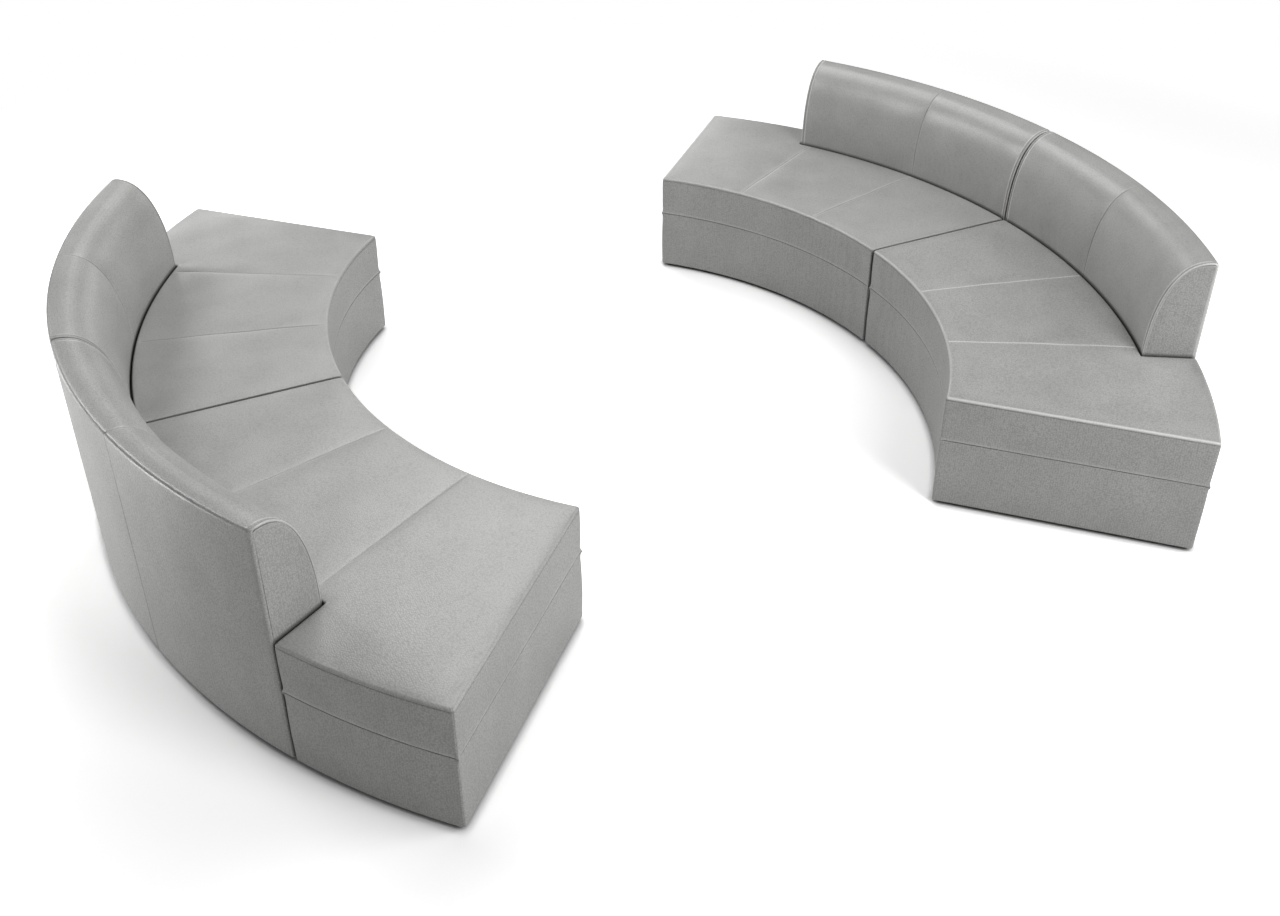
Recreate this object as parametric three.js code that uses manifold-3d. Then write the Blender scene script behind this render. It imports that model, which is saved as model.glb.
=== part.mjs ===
// A round lounge sofa: four curved upholstered modules, hooked together in pairs into two
// crescents that face each other. Each module is a seat box with a padded seat, and a back that
// stands outside the box from the floor up and covers a little over two thirds of its arc.
// Millimetres, +Z up. The origin is on the floor in the middle of the set, +X points to the
// right crescent and +Y to the far modules. Angles are in degrees.

import * as THREE from "three";
import { mergeVertices } from "three/addons/utils/BufferGeometryUtils.js";
import Module from "manifold-3d";

const wasm = await Module();
wasm.setup();

// Plan of the set
const seatInnerRadius = 1524; // arc of the seat's front edge
const moduleDepth = 902; // front edge to outer face
const arcCentreOffset = 381; // each crescent's arc centre lies this far past the middle
const jointGap = 10; // between the two modules of a crescent
const moduleAngle = 45;
const seatPanels = 3;
const facetsPerPanel = 4;

// Heights above the floor
const floorClearance = 12; // underside of the upholstery
const bandSeamHeight = 278; // seam between the base cover and the seat's band
const seatHeight = 457; // top edge of the seat
const overallHeight = 836; // top of the back

// Back
const backDepth = 193; // foot of the back at seat level, measured from the outer face
const backAngle = 31.4; // arc that the back covers, from the joint
const backSeamAngle = 15;
const backSquareness = 2.4; // exponent of the superellipse over the front and top
const backEdgeRadius = 12;
const backEndRound = 9; // rounding of the end panels' edges
const backCrown = 4;
const backFrontFoam = 28;
const backTopFoam = 26;
const backOuterFoam = 12;
const backEndFoam = 12;
const backHemHeight = 424; // lower edge of the front cover, tucked behind the seat
const backClearance = 4; // between the back's foot and the seat box

// Seat cushion
const seatFoam = 110;
const seatCrown = 6;
const seatEdgeRadius = 13;
const seatSideDraw = 2.5; // how far the sides draw in at the band seam
const seatEdgeDraw = 1;
const seamHalfWidth = 7;
const seamDepth = 4;
const skirtThickness = 10;

// Base cover
const coverHemWidth = 34; // turned under the frame
const coverHemThickness = 3;
const coverSideDraw = 2.5;
const coverBottomDraw = 4;
const coverEdgeHeight = 7;

// Plywood
const deckThickness = 18;
const railThickness = 18;
const ribThickness = 18;
const backBoardThickness = 15;
const airHoleRadius = 32;
const ribHoleMargin = 62;
const ribHoleCorner = 34;
const blockSize = 60;
const blockHeight = 42;

// Dust cover
const dustThickness = 1.3;
const dustInset = 14;

// Levelling glides
const glideInset = 50;
const glideRadius = 20;
const glideRimHeight = 4.5;
const glideHubRadius = 11;
const glideStemRadius = 4.75;
const glideStemLength = 38;

// Gang hooks and their screws
const hookScrewInset = 55; // from the joint plane
const hookInnerShare = 0.22; // places of the two hooks, as shares of the box's depth at the joint
const hookOuterShare = 0.78;
const hookThickness = 3;
const hookWidth = 30;
const hookScrewRadius = 3;
const hookScrewHeadRadius = 8;
const hookScrewHeadHeight = 2.6;
const hookScrewLength = 30; // above the frame's underside
const hookSlotPlay = 0.8;
const hookMouthAngle = 32;

// Back bolts, fixed in the rear rail of the seat box
const boltRadius = 5;
const boltHeadRadius = 11;
const boltHeadThickness = 6;
const boltProud = 9; // past the back's front board
const boltHeights = [112, 236];
const boltAngleShares = [0.2, 0.8];

// Fits
const fitGap = 0.3;
const wrapGap = 0.8; // between a cover and the wood it wraps
const boreGap = 0.4;
const overrun = 20; // how far a cutting body passes what it cuts
const turnedSides = 8;
const boltSides = 6;
const mergeDistance = 0.001;

// Sizes that follow
const outerRadius = seatInnerRadius + moduleDepth;
const backFootRadius = outerRadius - backDepth;
const notchRadius = backFootRadius - backClearance;
const halfGap = jointGap / 2;
const frameInset = skirtThickness + wrapGap;
const frameBottom = floorClearance + coverHemThickness + fitGap;
const deckTop = seatHeight - seatFoam;
const frameTop = deckTop - deckThickness - fitGap;
const dustTop = floorClearance - fitGap;
const dustBottom = dustTop - dustThickness;
const hookTop = dustBottom - 2 * fitGap;
const hookBottom = hookTop - hookThickness;

// Colours and finishes
const coverMaterial = new THREE.MeshStandardMaterial({ color: 0x9a9c9c, roughness: 0.48, metalness: 0 });
const plywoodMaterial = new THREE.MeshStandardMaterial({ color: 0xb08a5c, roughness: 0.7, metalness: 0 });
const dustMaterial = new THREE.MeshStandardMaterial({ color: 0x17181a, roughness: 0.95, metalness: 0 });
const glideMaterial = new THREE.MeshStandardMaterial({ color: 0x101112, roughness: 0.5, metalness: 0 });
const hookMaterial = new THREE.MeshStandardMaterial({ color: 0x8d9095, roughness: 0.38, metalness: 1 });
const screwMaterial = new THREE.MeshStandardMaterial({ color: 0xb9bcc0, roughness: 0.3, metalness: 1 });

const lerp = (from, to, share) => from + (to - from) * share;
const degrees = (radians) => (radians * 180) / Math.PI;
const radians = (angle) => (angle * Math.PI) / 180;

// Angle at which a plane parallel to a ray, this far beside it, is met at a radius
const planeAngle = (offset, radius) => degrees(Math.asin(offset / radius));
const jointAngle = (inset, radius) => planeAngle(halfGap + inset, radius);
const freeAngle = (inset, radius) => moduleAngle - planeAngle(inset, radius);
const notchAngle = (inset, radius) => backAngle + planeAngle(backClearance + inset, radius);
const backEndAngle = (inset, radius) => backAngle - planeAngle(inset, radius);

const polar = (radius, angle, z) => [radius * Math.cos(radians(angle)), radius * Math.sin(radians(angle)), z];

// Triangles as plain points, with shared corners merged at the end
class Skin {
  constructor() {
    this.points = [];
  }
  triangle(a, b, c) {
    this.points.push(...a, ...b, ...c);
  }
  quad(a, b, c, d) {
    this.triangle(a, b, c);
    this.triangle(a, c, d);
  }
  // Joins closed loops of equal count, each to the next
  loft(loops) {
    for (let k = 1; k < loops.length; k += 1) {
      const count = loops[k].length;
      for (let i = 0; i < count; i += 1) {
        const next = (i + 1) % count;
        this.quad(loops[k - 1][i], loops[k - 1][next], loops[k][next], loops[k][i]);
      }
    }
  }
  // Fills a flat loop; flat gives its outline in two dimensions, seen from the side it faces
  // unless turned
  cap(loop, flat, turned) {
    const outline = flat.map(([x, y]) => new THREE.Vector2(x, y));
    const triangles = THREE.ShapeUtils.triangulateShape(outline, []);
    const areaOf = (corners) => THREE.ShapeUtils.area(corners.map((i) => outline[i]));
    const area = triangles.reduce((sum, corners) => sum + areaOf(corners), 0);
    for (const [a, b, c] of triangles) {
      if (area > 0 !== turned) this.triangle(loop[a], loop[b], loop[c]);
      else this.triangle(loop[c], loop[b], loop[a]);
    }
  }
  geometry() {
    const geometry = new THREE.BufferGeometry();
    geometry.setAttribute("position", new THREE.Float32BufferAttribute(this.points, 3));
    return merged(geometry);
  }
}

// Merges shared corners and leaves out triangles that have shrunk to a line, as at a turned pole
function merged(geometry) {
  geometry.deleteAttribute("normal");
  geometry.deleteAttribute("uv");
  const shared = mergeVertices(geometry, mergeDistance);
  const kept = [];
  for (let i = 0; i < shared.index.count; i += 3) {
    const corners = [0, 1, 2].map((k) => shared.index.getX(i + k));
    if (new Set(corners).size === corners.length) kept.push(...corners);
  }
  shared.setIndex(kept);
  return shared;
}

// Booleans
function toSolid(geometry) {
  const shared = merged(geometry);
  return new wasm.Manifold(
    new wasm.Mesh({
      numProp: 3,
      vertProperties: shared.attributes.position.array,
      triVerts: new Uint32Array(shared.index.array),
    }),
  );
}

function toGeometry(solid) {
  const mesh = solid.getMesh();
  const geometry = new THREE.BufferGeometry();
  geometry.setAttribute("position", new THREE.BufferAttribute(mesh.vertProperties, mesh.numProp));
  geometry.setIndex(new THREE.BufferAttribute(mesh.triVerts, 1));
  return geometry;
}

const join = (first, others) => others.reduce((sum, other) => sum.add(other), first);
const cut = (first, tools) => tools.reduce((rest, tool) => rest.subtract(tool), first);

// A flat outline raised from one height to another
function prism(outline, bottom, top) {
  const shape = new THREE.Shape(outline.map(([x, y]) => new THREE.Vector2(x, y)));
  const geometry = new THREE.ExtrudeGeometry(shape, { depth: top - bottom, bevelEnabled: false });
  return geometry.translate(0, 0, bottom);
}

function regularOutline(radius, sides, [x, y] = [0, 0]) {
  return Array.from({ length: sides }, (_, i) => {
    const turn = (2 * Math.PI * (i + 0.5)) / sides;
    return [x + radius * Math.cos(turn), y + radius * Math.sin(turn)];
  });
}

function squareOutline(size, [x, y], turn) {
  const corners = [[-1, -1], [1, -1], [1, 1], [-1, 1]];
  return corners.map(([u, v]) => {
    const [dx, dy] = [(u * size) / 2, (v * size) / 2];
    return [
      x + dx * Math.cos(radians(turn)) - dy * Math.sin(radians(turn)),
      y + dx * Math.sin(radians(turn)) + dy * Math.cos(radians(turn)),
    ];
  });
}

// Plan of a module, with the joint plane on the +X ray and the free end at moduleAngle.
// Columns are the angles at which the arcs have corners, the same for every nested piece.
const notchColumn = notchAngle(0, notchRadius);
const facetAngle = moduleAngle / seatPanels / facetsPerPanel;
const frontColumns = [];
for (let angle = facetAngle; angle < notchColumn - facetAngle / 4; angle += facetAngle) {
  frontColumns.push(angle);
}
const rearFacets = Math.max(1, Math.round((moduleAngle - notchColumn) / facetAngle));
const rearColumns = Array.from({ length: rearFacets - 1 }, (_, i) =>
  lerp(notchColumn, moduleAngle, (i + 1) / rearFacets),
);
const seamAngles = Array.from({ length: seatPanels - 1 }, (_, i) => ((i + 1) * moduleAngle) / seatPanels);
const seamTurn = planeAngle(seamHalfWidth, (seatInnerRadius + outerRadius) / 2);

const onSeam = (angle, seams) => seams.some((seam) => Math.abs(seam - angle) < seamTurn / 2);

// Adds a column on either side of each seam
function withSeams(columns, seams) {
  const around = (angle) => [angle - seamTurn, angle, angle + seamTurn];
  return columns.flatMap((angle) => (onSeam(angle, seams) ? around(angle) : [angle]));
}

// The L-shaped outline of the seat box, drawn in by inset, anticlockwise from the inner corner at
// the joint. Shares place extra corners along the straight ends, before and past the notch.
function boxOutline(inset, front, rear, frontShares = [], rearShares = []) {
  const inner = seatInnerRadius + inset;
  const notch = notchRadius - inset;
  const outer = outerRadius - inset;
  const frontRadii = [inner, ...frontShares.map((share) => lerp(inner, notch, share))];
  const rearRadii = rearShares.map((share) => lerp(notch, outer, share));
  return [
    ...frontRadii.map((radius) => [radius, jointAngle(inset, radius)]),
    [notch, jointAngle(inset, notch)],
    ...front.map((angle) => [notch, angle]),
    [notch, notchAngle(inset, notch)],
    ...rearRadii.map((radius) => [radius, notchAngle(inset, radius)]),
    [outer, notchAngle(inset, outer)],
    ...rear.map((angle) => [outer, angle]),
    [outer, freeAngle(inset, outer)],
    ...rearRadii.toReversed().map((radius) => [radius, freeAngle(inset, radius)]),
    [notch, freeAngle(inset, notch)],
    ...frontRadii.toReversed().map((radius) => [radius, freeAngle(inset, radius)]),
    ...rear.toReversed().map((angle) => [inner, angle]),
    [inner, notchColumn],
    ...front.toReversed().map((angle) => [inner, angle]),
  ];
}

const plainOutline = (inset) => boxOutline(inset, frontColumns, rearColumns);
const raise = (outline, z) => outline.map(([radius, angle]) => polar(radius, angle, z));
const flatten = (outline) => outline.map(([radius, angle]) => polar(radius, angle, 0).slice(0, 2));

// Seat cushion: foam under a tight cover. The skirt hangs over the deck and the frame to the band
// seam, the sides draw in there, the top edge is rounded, and each panel between two seams
// crowns by seatCrown times the root of a sine across it each way.
const frontShares = [0.08, 0.3, 0.52, 0.74, 0.93];
const rearShares = [0.5];

function seatCushionSolid() {
  const columns = withSeams(frontColumns, seamAngles);
  const ring = (inset, z) => raise(boxOutline(inset, columns, rearColumns, frontShares, rearShares), z);
  const bottom = bandSeamHeight + fitGap;
  const shoulder = seatHeight - seatEdgeRadius;
  const side = [
    [seatSideDraw, bottom],
    [seatSideDraw / 4, lerp(bottom, shoulder, 0.06)],
    [0, lerp(bottom, shoulder, 0.35)],
    [0, lerp(bottom, shoulder, 0.75)],
  ];
  const edge = [0, 30, 60, 90].map((turn) => [
    seatEdgeDraw + seatEdgeRadius * (1 - Math.cos(radians(turn))),
    shoulder + seatEdgeRadius * Math.sin(radians(turn)),
  ]);
  const rings = [...side, ...edge].map(([inset, z]) => ring(inset, z));
  const skin = new Skin();
  skin.cap(rings[0], rings[0], true);
  skin.loft(rings);
  topGrid(skin, columns, seatEdgeDraw + seatEdgeRadius);
  const recess = toSolid(prism(flatten(plainOutline(skirtThickness)), bottom - overrun, deckTop + fitGap));
  return toSolid(skin.geometry()).subtract(recess);
}

// The top's grid of radii and angles, inside the last ring of the edge
function topGrid(skin, columns, inset) {
  const inner = seatInnerRadius + inset;
  const notch = notchRadius - inset;
  const outer = outerRadius - inset;
  const frontRadii = [0, ...frontShares, 1].map((share) => lerp(inner, notch, share));
  const rearRadii = [...rearShares, 1].map((share) => lerp(notch, outer, share));
  const radii = [...frontRadii, ...rearRadii];
  const lastFront = frontRadii.length - 1;
  const angles = [null, ...columns, notchColumn, ...rearColumns, null];
  const notchPlace = columns.length + 1;
  const angleAt = (row, column) => {
    if (column === 0) return jointAngle(inset, radii[row]);
    if (column === angles.length - 1) return freeAngle(inset, radii[row]);
    if (column !== notchPlace) return angles[column];
    if (row >= lastFront) return notchAngle(inset, radii[row]);
    return lerp(notchColumn, notchAngle(inset, notch), row / lastFront);
  };
  const panelEdges = [0, ...seamAngles, moduleAngle];
  const heightAt = (row, column) => {
    const lastRow = column < notchPlace ? lastFront : radii.length - 1;
    const onEdge = row === 0 || row === lastRow || column === 0 || column === angles.length - 1;
    if (onEdge || (column === notchPlace && row >= lastFront)) return seatHeight;
    const angle = angleAt(row, column);
    if (onSeam(angle, seamAngles)) return seatHeight - seamDepth;
    const panel = panelEdges.findLastIndex((start) => start <= angle);
    const across = (angle - panelEdges[panel]) / (panelEdges[panel + 1] - panelEdges[panel]);
    const along = (radii[row] - inner) / (radii[lastRow] - inner);
    const crown = Math.sqrt(Math.sin(Math.PI * across) * Math.sin(Math.PI * along));
    return seatHeight + seatCrown * crown;
  };
  const point = (row, column) => polar(radii[row], angleAt(row, column), heightAt(row, column));
  for (let column = 1; column < angles.length; column += 1) {
    const lastRow = column <= notchPlace ? lastFront : radii.length - 1;
    const before = column - 1;
    for (let row = 1; row <= lastRow; row += 1)
      skin.quad(point(row - 1, before), point(row, before), point(row, column), point(row - 1, column));
  }
}

// Base cover: a padded band round the frame, open in the middle, with its hem turned under
function baseCoverSolid() {
  const top = bandSeamHeight - fitGap;
  const section = [
    [coverHemWidth, floorClearance],
    [coverBottomDraw, floorClearance],
    [0, floorClearance + coverEdgeHeight],
    [0, lerp(floorClearance, top, 0.9)],
    [coverSideDraw, top],
    [skirtThickness, top],
    [skirtThickness, floorClearance + coverHemThickness],
    [coverHemWidth, floorClearance + coverHemThickness],
  ];
  const rings = section.map(([inset, z]) => raise(plainOutline(inset), z));
  const skin = new Skin();
  skin.loft([...rings, rings[0]]);
  const [holeStart, holeEnd] = [notchRadius - coverHemWidth, backFootRadius];
  const holes = boltPlaces.map((place) => boltSolid(place, boltRadius + boreGap, holeStart, holeEnd));
  return cut(toSolid(skin.geometry()), holes);
}

// Bolts that hold the back to the rear rail, along radii of the arc
const boltPlaces = boltAngleShares.flatMap((share) =>
  boltHeights.map((z) => ({ angle: share * backAngle, z })),
);

function boltSolid({ angle, z }, radius, from, to) {
  const geometry = prism(regularOutline(radius, boltSides), from, to);
  geometry.rotateY(Math.PI / 2).rotateZ(radians(angle)).translate(0, 0, z);
  return toSolid(geometry);
}

// Places of the glides and of the gang screws, in plan
const planPoint = (radius, angle) => polar(radius, angle, 0).slice(0, 2);
const innerGlideRadius = seatInnerRadius + glideInset;
const outerGlideRadius = outerRadius - glideInset;
const glidePlaces = {
  inner_joint: planPoint(innerGlideRadius, jointAngle(glideInset, innerGlideRadius)),
  outer_joint: planPoint(outerGlideRadius, jointAngle(glideInset, outerGlideRadius)),
  inner_end: planPoint(innerGlideRadius, freeAngle(glideInset, innerGlideRadius)),
  outer_end: planPoint(outerGlideRadius, freeAngle(glideInset, outerGlideRadius)),
};
const hookRadii = [hookInnerShare, hookOuterShare].map((share) => lerp(seatInnerRadius, notchRadius, share));
const hookPlaces = hookRadii.map((radius) => [radius, hookScrewInset]);

// Holes from below for a glide's stem and for a gang screw
const holeFromBelow = (place, radius, depth) =>
  toSolid(prism(regularOutline(radius, turnedSides, place), dustBottom - overrun, frameBottom + depth));
const glideHole = (place) => holeFromBelow(place, glideStemRadius + boreGap, glideStemLength);
const screwHole = (place) => holeFromBelow(place, hookScrewRadius + boreGap, hookScrewLength + boreGap);

// Base frame: rails all round, two cross ribs with hand holes, corner blocks and the back's bolts
function baseFrameSolid() {
  const rails = toSolid(prism(flatten(plainOutline(frameInset)), frameBottom, frameTop));
  const insideOfRails = flatten(plainOutline(frameInset + railThickness));
  const room = toSolid(prism(insideOfRails, frameBottom - overrun, frameTop + overrun));
  const blocks = [
    squareOutline(blockSize, glidePlaces.inner_joint, 0),
    squareOutline(blockSize, glidePlaces.inner_end, moduleAngle),
    squareOutline(blockSize, glidePlaces.outer_end, moduleAngle),
    ...hookPlaces.map((place) => squareOutline(blockSize, place, 0)),
  ].map((outline) => toSolid(prism(outline, frameBottom, frameBottom + blockHeight)));
  const railFace = notchRadius - frameInset;
  const headFace = railFace - railThickness;
  const boltEnd = backFootRadius + fitGap + backBoardThickness + boltProud;
  const bolts = boltPlaces.flatMap((place) => [
    boltSolid(place, boltRadius, headFace, boltEnd),
    boltSolid(place, boltHeadRadius, headFace - boltHeadThickness, railFace - railThickness / 2),
  ]);
  const frame = join(cut(rails, [room]), [...seamAngles.map(ribSolid), ...blocks, ...bolts]);
  const glideHoles = [glidePlaces.inner_joint, glidePlaces.inner_end, glidePlaces.outer_end].map(glideHole);
  return cut(frame, [...glideHoles, ...hookPlaces.map(screwHole)]);
}

// A cross rib on a radius, with one long hole
function ribSolid(angle) {
  const inner = seatInnerRadius + frameInset + railThickness / 2;
  const outer = notchRadius - frameInset - railThickness / 2;
  const half = ribThickness / 2;
  const rib = prism([[inner, -half], [outer, -half], [outer, half], [inner, half]], frameBottom, frameTop);
  const [left, right] = [inner + ribHoleMargin, outer - ribHoleMargin];
  const [low, high] = [frameBottom + ribHoleMargin, frameTop - ribHoleMargin];
  const corner = Math.min(ribHoleCorner, (high - low) / 2.5);
  const hole = prism(
    [
      [left + corner, low],
      [right - corner, low],
      [right, low + corner],
      [right, high - corner],
      [right - corner, high],
      [left + corner, high],
      [left, high - corner],
      [left, low + corner],
    ],
    -overrun,
    overrun,
  ).rotateX(Math.PI / 2);
  return toSolid(rib.rotateZ(radians(angle))).subtract(toSolid(hole.rotateZ(radians(angle))));
}

// Seat deck: a sheet on the frame, with an air hole in each panel
function seatDeckSolid() {
  const sheet = toSolid(prism(flatten(plainOutline(frameInset)), deckTop - deckThickness, deckTop));
  const middle = (seatInnerRadius + notchRadius) / 2;
  const holes = Array.from({ length: seatPanels }, (_, i) => {
    const place = planPoint(middle, ((i + 0.5) * moduleAngle) / seatPanels);
    const outline = regularOutline(airHoleRadius, turnedSides, place);
    return toSolid(prism(outline, deckTop - deckThickness - overrun, deckTop + overrun));
  });
  return cut(sheet, holes);
}

// Dust cover: a thin cloth under the whole wedge, slit for the glides and screws
function dustCoverSolid() {
  const inner = seatInnerRadius + dustInset;
  const outer = outerRadius - dustInset;
  const columns = [...frontColumns, notchColumn, ...rearColumns];
  const outline = [
    [inner, jointAngle(dustInset, inner)],
    [outer, jointAngle(dustInset, outer)],
    ...columns.map((angle) => [outer, angle]),
    [outer, freeAngle(dustInset, outer)],
    [inner, freeAngle(dustInset, inner)],
    ...columns.toReversed().map((angle) => [inner, angle]),
  ];
  const cloth = toSolid(prism(flatten(outline), dustBottom, dustTop));
  return cut(cloth, [...Object.values(glidePlaces).map(glideHole), ...hookPlaces.map(screwHole)]);
}

// Back cushion section: straight up from the floor, a superellipse over front and top, a small
// outer edge and a straight outer face. Inset draws it in, swell pushes the rolled front out.
const rollStart = seatHeight;
const rollSteps = 8;

function backSection(inset, swell) {
  const radius = Math.max(backEdgeRadius - inset, fitGap);
  const centre = outerRadius - backEdgeRadius;
  const reach = backDepth - backEdgeRadius - inset;
  const rise = overallHeight - rollStart - inset;
  const roll = Array.from({ length: rollSteps + 1 }, (_, i) => {
    const turn = (Math.PI / 2) * (i / rollSteps);
    const push = 1 + (swell * Math.sin(2 * turn)) / reach;
    return [
      centre - reach * push * Math.cos(turn) ** (2 / backSquareness),
      rollStart + rise * Math.sin(turn) ** (2 / backSquareness),
    ];
  });
  const half = radius * Math.SQRT1_2;
  const edgeCentre = outerRadius - inset - radius;
  const edgeTop = overallHeight - inset - radius;
  return [
    [backFootRadius + inset, floorClearance],
    ...roll,
    [edgeCentre + half, edgeTop + half],
    [outerRadius - inset, edgeTop],
    [outerRadius - inset, floorClearance],
  ];
}

function backCushionSolid() {
  const endRound = [0, 30, 90].map((turn) => ({
    offset: backEndRound * (1 - Math.sin(radians(turn))),
    inset: backEndRound * (1 - Math.cos(radians(90 - turn))),
  }));
  const plainColumns = frontColumns.filter((angle) => angle < backAngle - facetAngle / 2);
  const columns = withSeams(plainColumns, [backSeamAngle]);
  const swellAt = (angle) => {
    const [start, end] = angle < backSeamAngle ? [0, backSeamAngle] : [backSeamAngle, backAngle];
    return backCrown * Math.sqrt(Math.sin((Math.PI * (angle - start)) / (end - start)));
  };
  const place = (section, angleAt) => section.map(([radius, z]) => polar(radius, angleAt(radius), z));
  const jointEnd = endRound.map(({ offset, inset }) =>
    place(backSection(backEndRound - offset, 0), (radius) => jointAngle(inset, radius)),
  );
  const freeEnd = endRound.map(({ offset, inset }) =>
    place(backSection(backEndRound - offset, 0), (radius) => backEndAngle(inset, radius)),
  );
  const sectionAt = (angle) =>
    onSeam(angle, [backSeamAngle]) ? backSection(seamDepth, 0) : backSection(0, swellAt(angle));
  const middle = columns.map((angle) => place(sectionAt(angle), () => angle));
  const loops = [...jointEnd.toReversed(), ...middle, ...freeEnd];
  const skin = new Skin();
  skin.loft(loops);
  skin.cap(loops[0], backSection(backEndRound, 0), false);
  skin.cap(loops.at(-1), backSection(backEndRound, 0), true);
  const hollow = coreSolid(backFootRadius - overrun, floorClearance - overrun, 0, 0, backAngle);
  return toSolid(skin.geometry()).subtract(hollow);
}

// The wooden core inside the back: a foot flush with the cushion's front up to the hem, then a
// smaller superellipse under the foam. Inset draws it in for a fit or for the boards' thickness.
const coreSteps = 5;

function coreSolid(footRadius, bottom, inset, from, to) {
  const front = backFootRadius + backFrontFoam + inset;
  const outer = outerRadius - backOuterFoam - inset;
  const rise = overallHeight - backTopFoam - inset - rollStart;
  const roll = Array.from({ length: coreSteps + 1 }, (_, i) => {
    const turn = (Math.PI / 2) * (i / coreSteps);
    return [
      outer - (outer - front) * Math.cos(turn) ** (2 / backSquareness),
      rollStart + rise * Math.sin(turn) ** (2 / backSquareness),
    ];
  });
  const section = [
    [footRadius, bottom],
    [footRadius, backHemHeight - inset],
    [front, backHemHeight - inset],
    ...roll,
    [outer, bottom],
  ];
  const endInset = backEndFoam + inset;
  const ribTurn = (radius) => planeAngle(ribThickness / 2, radius);
  const startAngle = (radius) => (from === 0 ? jointAngle(endInset, radius) : from + ribTurn(radius));
  const endAngle = (radius) => (to === backAngle ? backEndAngle(endInset, radius) : to - ribTurn(radius));
  const between = (angle) => angle > from + facetAngle / 2 && angle < to - facetAngle / 2;
  const columns = frontColumns.filter(between);
  const loops = [startAngle, ...columns.map((angle) => () => angle), endAngle].map((angleAt) =>
    section.map(([radius, z]) => polar(radius, angleAt(radius), z)),
  );
  const skin = new Skin();
  skin.loft(loops);
  skin.cap(loops[0], section, false);
  skin.cap(loops.at(-1), section, true);
  return toSolid(skin.geometry());
}

// Back frame: boards over end, middle and quarter ribs, open underneath, with a block for its glide
function backFrameSolid() {
  const body = coreSolid(backFootRadius + fitGap, frameBottom, fitGap, 0, backAngle);
  const inset = fitGap + backBoardThickness;
  const bays = [
    [0, backSeamAngle],
    [backSeamAngle, backAngle],
  ].map(([from, to]) => coreSolid(backFootRadius + inset, frameBottom - overrun, inset, from, to));
  const block = toSolid(
    prism(squareOutline(blockSize, glidePlaces.outer_joint, 0), frameBottom, frameBottom + blockHeight),
  );
  const holes = boltPlaces.map((place) =>
    boltSolid(place, boltRadius + boreGap, backFootRadius - overrun, backFootRadius + inset + overrun),
  );
  return cut(cut(body, bays).add(block), [glideHole(glidePlaces.outer_joint), ...holes]);
}

// Levelling glide: a foot on a threaded stem, with its axis through the origin
function glideGeometry() {
  const hubTop = dustBottom - fitGap;
  const profile = [
    [0, 0],
    [glideRadius, 0],
    [glideRadius, glideRimHeight],
    [glideHubRadius, hubTop],
    [glideStemRadius, hubTop],
    [glideStemRadius, frameBottom + glideStemLength - boreGap],
    [0, frameBottom + glideStemLength - boreGap],
  ].map(([radius, z]) => new THREE.Vector2(radius, z));
  return turned(profile);
}

// A turned piece on the Z axis, with its corners where those of its hole are
const turned = (profile) =>
  merged(new THREE.LatheGeometry(profile, turnedSides).rotateX(Math.PI / 2).rotateZ(Math.PI / turnedSides));

// Wood screw for a gang hook, head down
function hookScrewGeometry() {
  const headTop = hookBottom - fitGap;
  const profile = [
    [0, headTop - hookScrewHeadHeight],
    [hookScrewHeadRadius * 0.7, headTop - hookScrewHeadHeight],
    [hookScrewHeadRadius, headTop - hookScrewHeadHeight / 2],
    [hookScrewHeadRadius, headTop],
    [hookScrewRadius, headTop],
    [hookScrewRadius, frameBottom + hookScrewLength],
    [0, frameBottom + hookScrewLength],
  ].map(([radius, z]) => new THREE.Vector2(radius, z));
  return turned(profile);
}

// Gang hook: a plate that turns on one screw and takes the other module's screw in a slot along
// the arc that this screw follows. The pivot is at the origin and the arm points along -Y.
function hookGeometry() {
  const reach = 2 * hookScrewInset;
  const half = hookWidth / 2;
  const round = (centreY, from, to, steps) =>
    Array.from({ length: steps + 1 }, (_, i) => {
      const turn = radians(lerp(from, to, i / steps));
      return [half * Math.cos(turn), centreY + half * Math.sin(turn)];
    });
  const plate = toSolid(prism([...round(0, 0, 180, 8), ...round(-reach, 180, 360, 8)], hookBottom, hookTop));
  const boreOutline = regularOutline(hookScrewRadius + boreGap, turnedSides);
  const bore = toSolid(prism(boreOutline, hookBottom - overrun, hookTop + overrun));
  const slotHalf = hookScrewRadius + hookSlotPlay;
  const slotSteps = 4;
  const slotArc = (radius, from, to) =>
    Array.from({ length: slotSteps + 1 }, (_, i) => planPoint(radius, lerp(from, to, i / slotSteps)));
  const slot = prism(
    [
      ...slotArc(reach + slotHalf, -90 - hookMouthAngle, -90),
      [slotHalf * Math.cos(radians(45)), -reach - slotHalf * Math.sin(radians(45))],
      [slotHalf, -reach],
      [slotHalf * Math.cos(radians(45)), -reach + slotHalf * Math.sin(radians(45))],
      ...slotArc(reach - slotHalf, -90, -90 - hookMouthAngle),
    ],
    hookBottom - overrun,
    hookTop + overrun,
  );
  return toGeometry(cut(plate, [bore, toSolid(slot)]));
}

// The same piece for the opposite hand, mirrored across the joint plane
function mirrored(geometry) {
  const copy = geometry.index ? geometry.toNonIndexed() : geometry.clone();
  const position = copy.getAttribute("position");
  for (let i = 0; i < position.count; i += 3) {
    const corners = [i, i + 2, i + 1].map((k) => [position.getX(k), -position.getY(k), position.getZ(k)]);
    corners.forEach(([x, y, z], k) => position.setXYZ(i + k, x, y, z));
  }
  return merged(copy);
}

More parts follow.
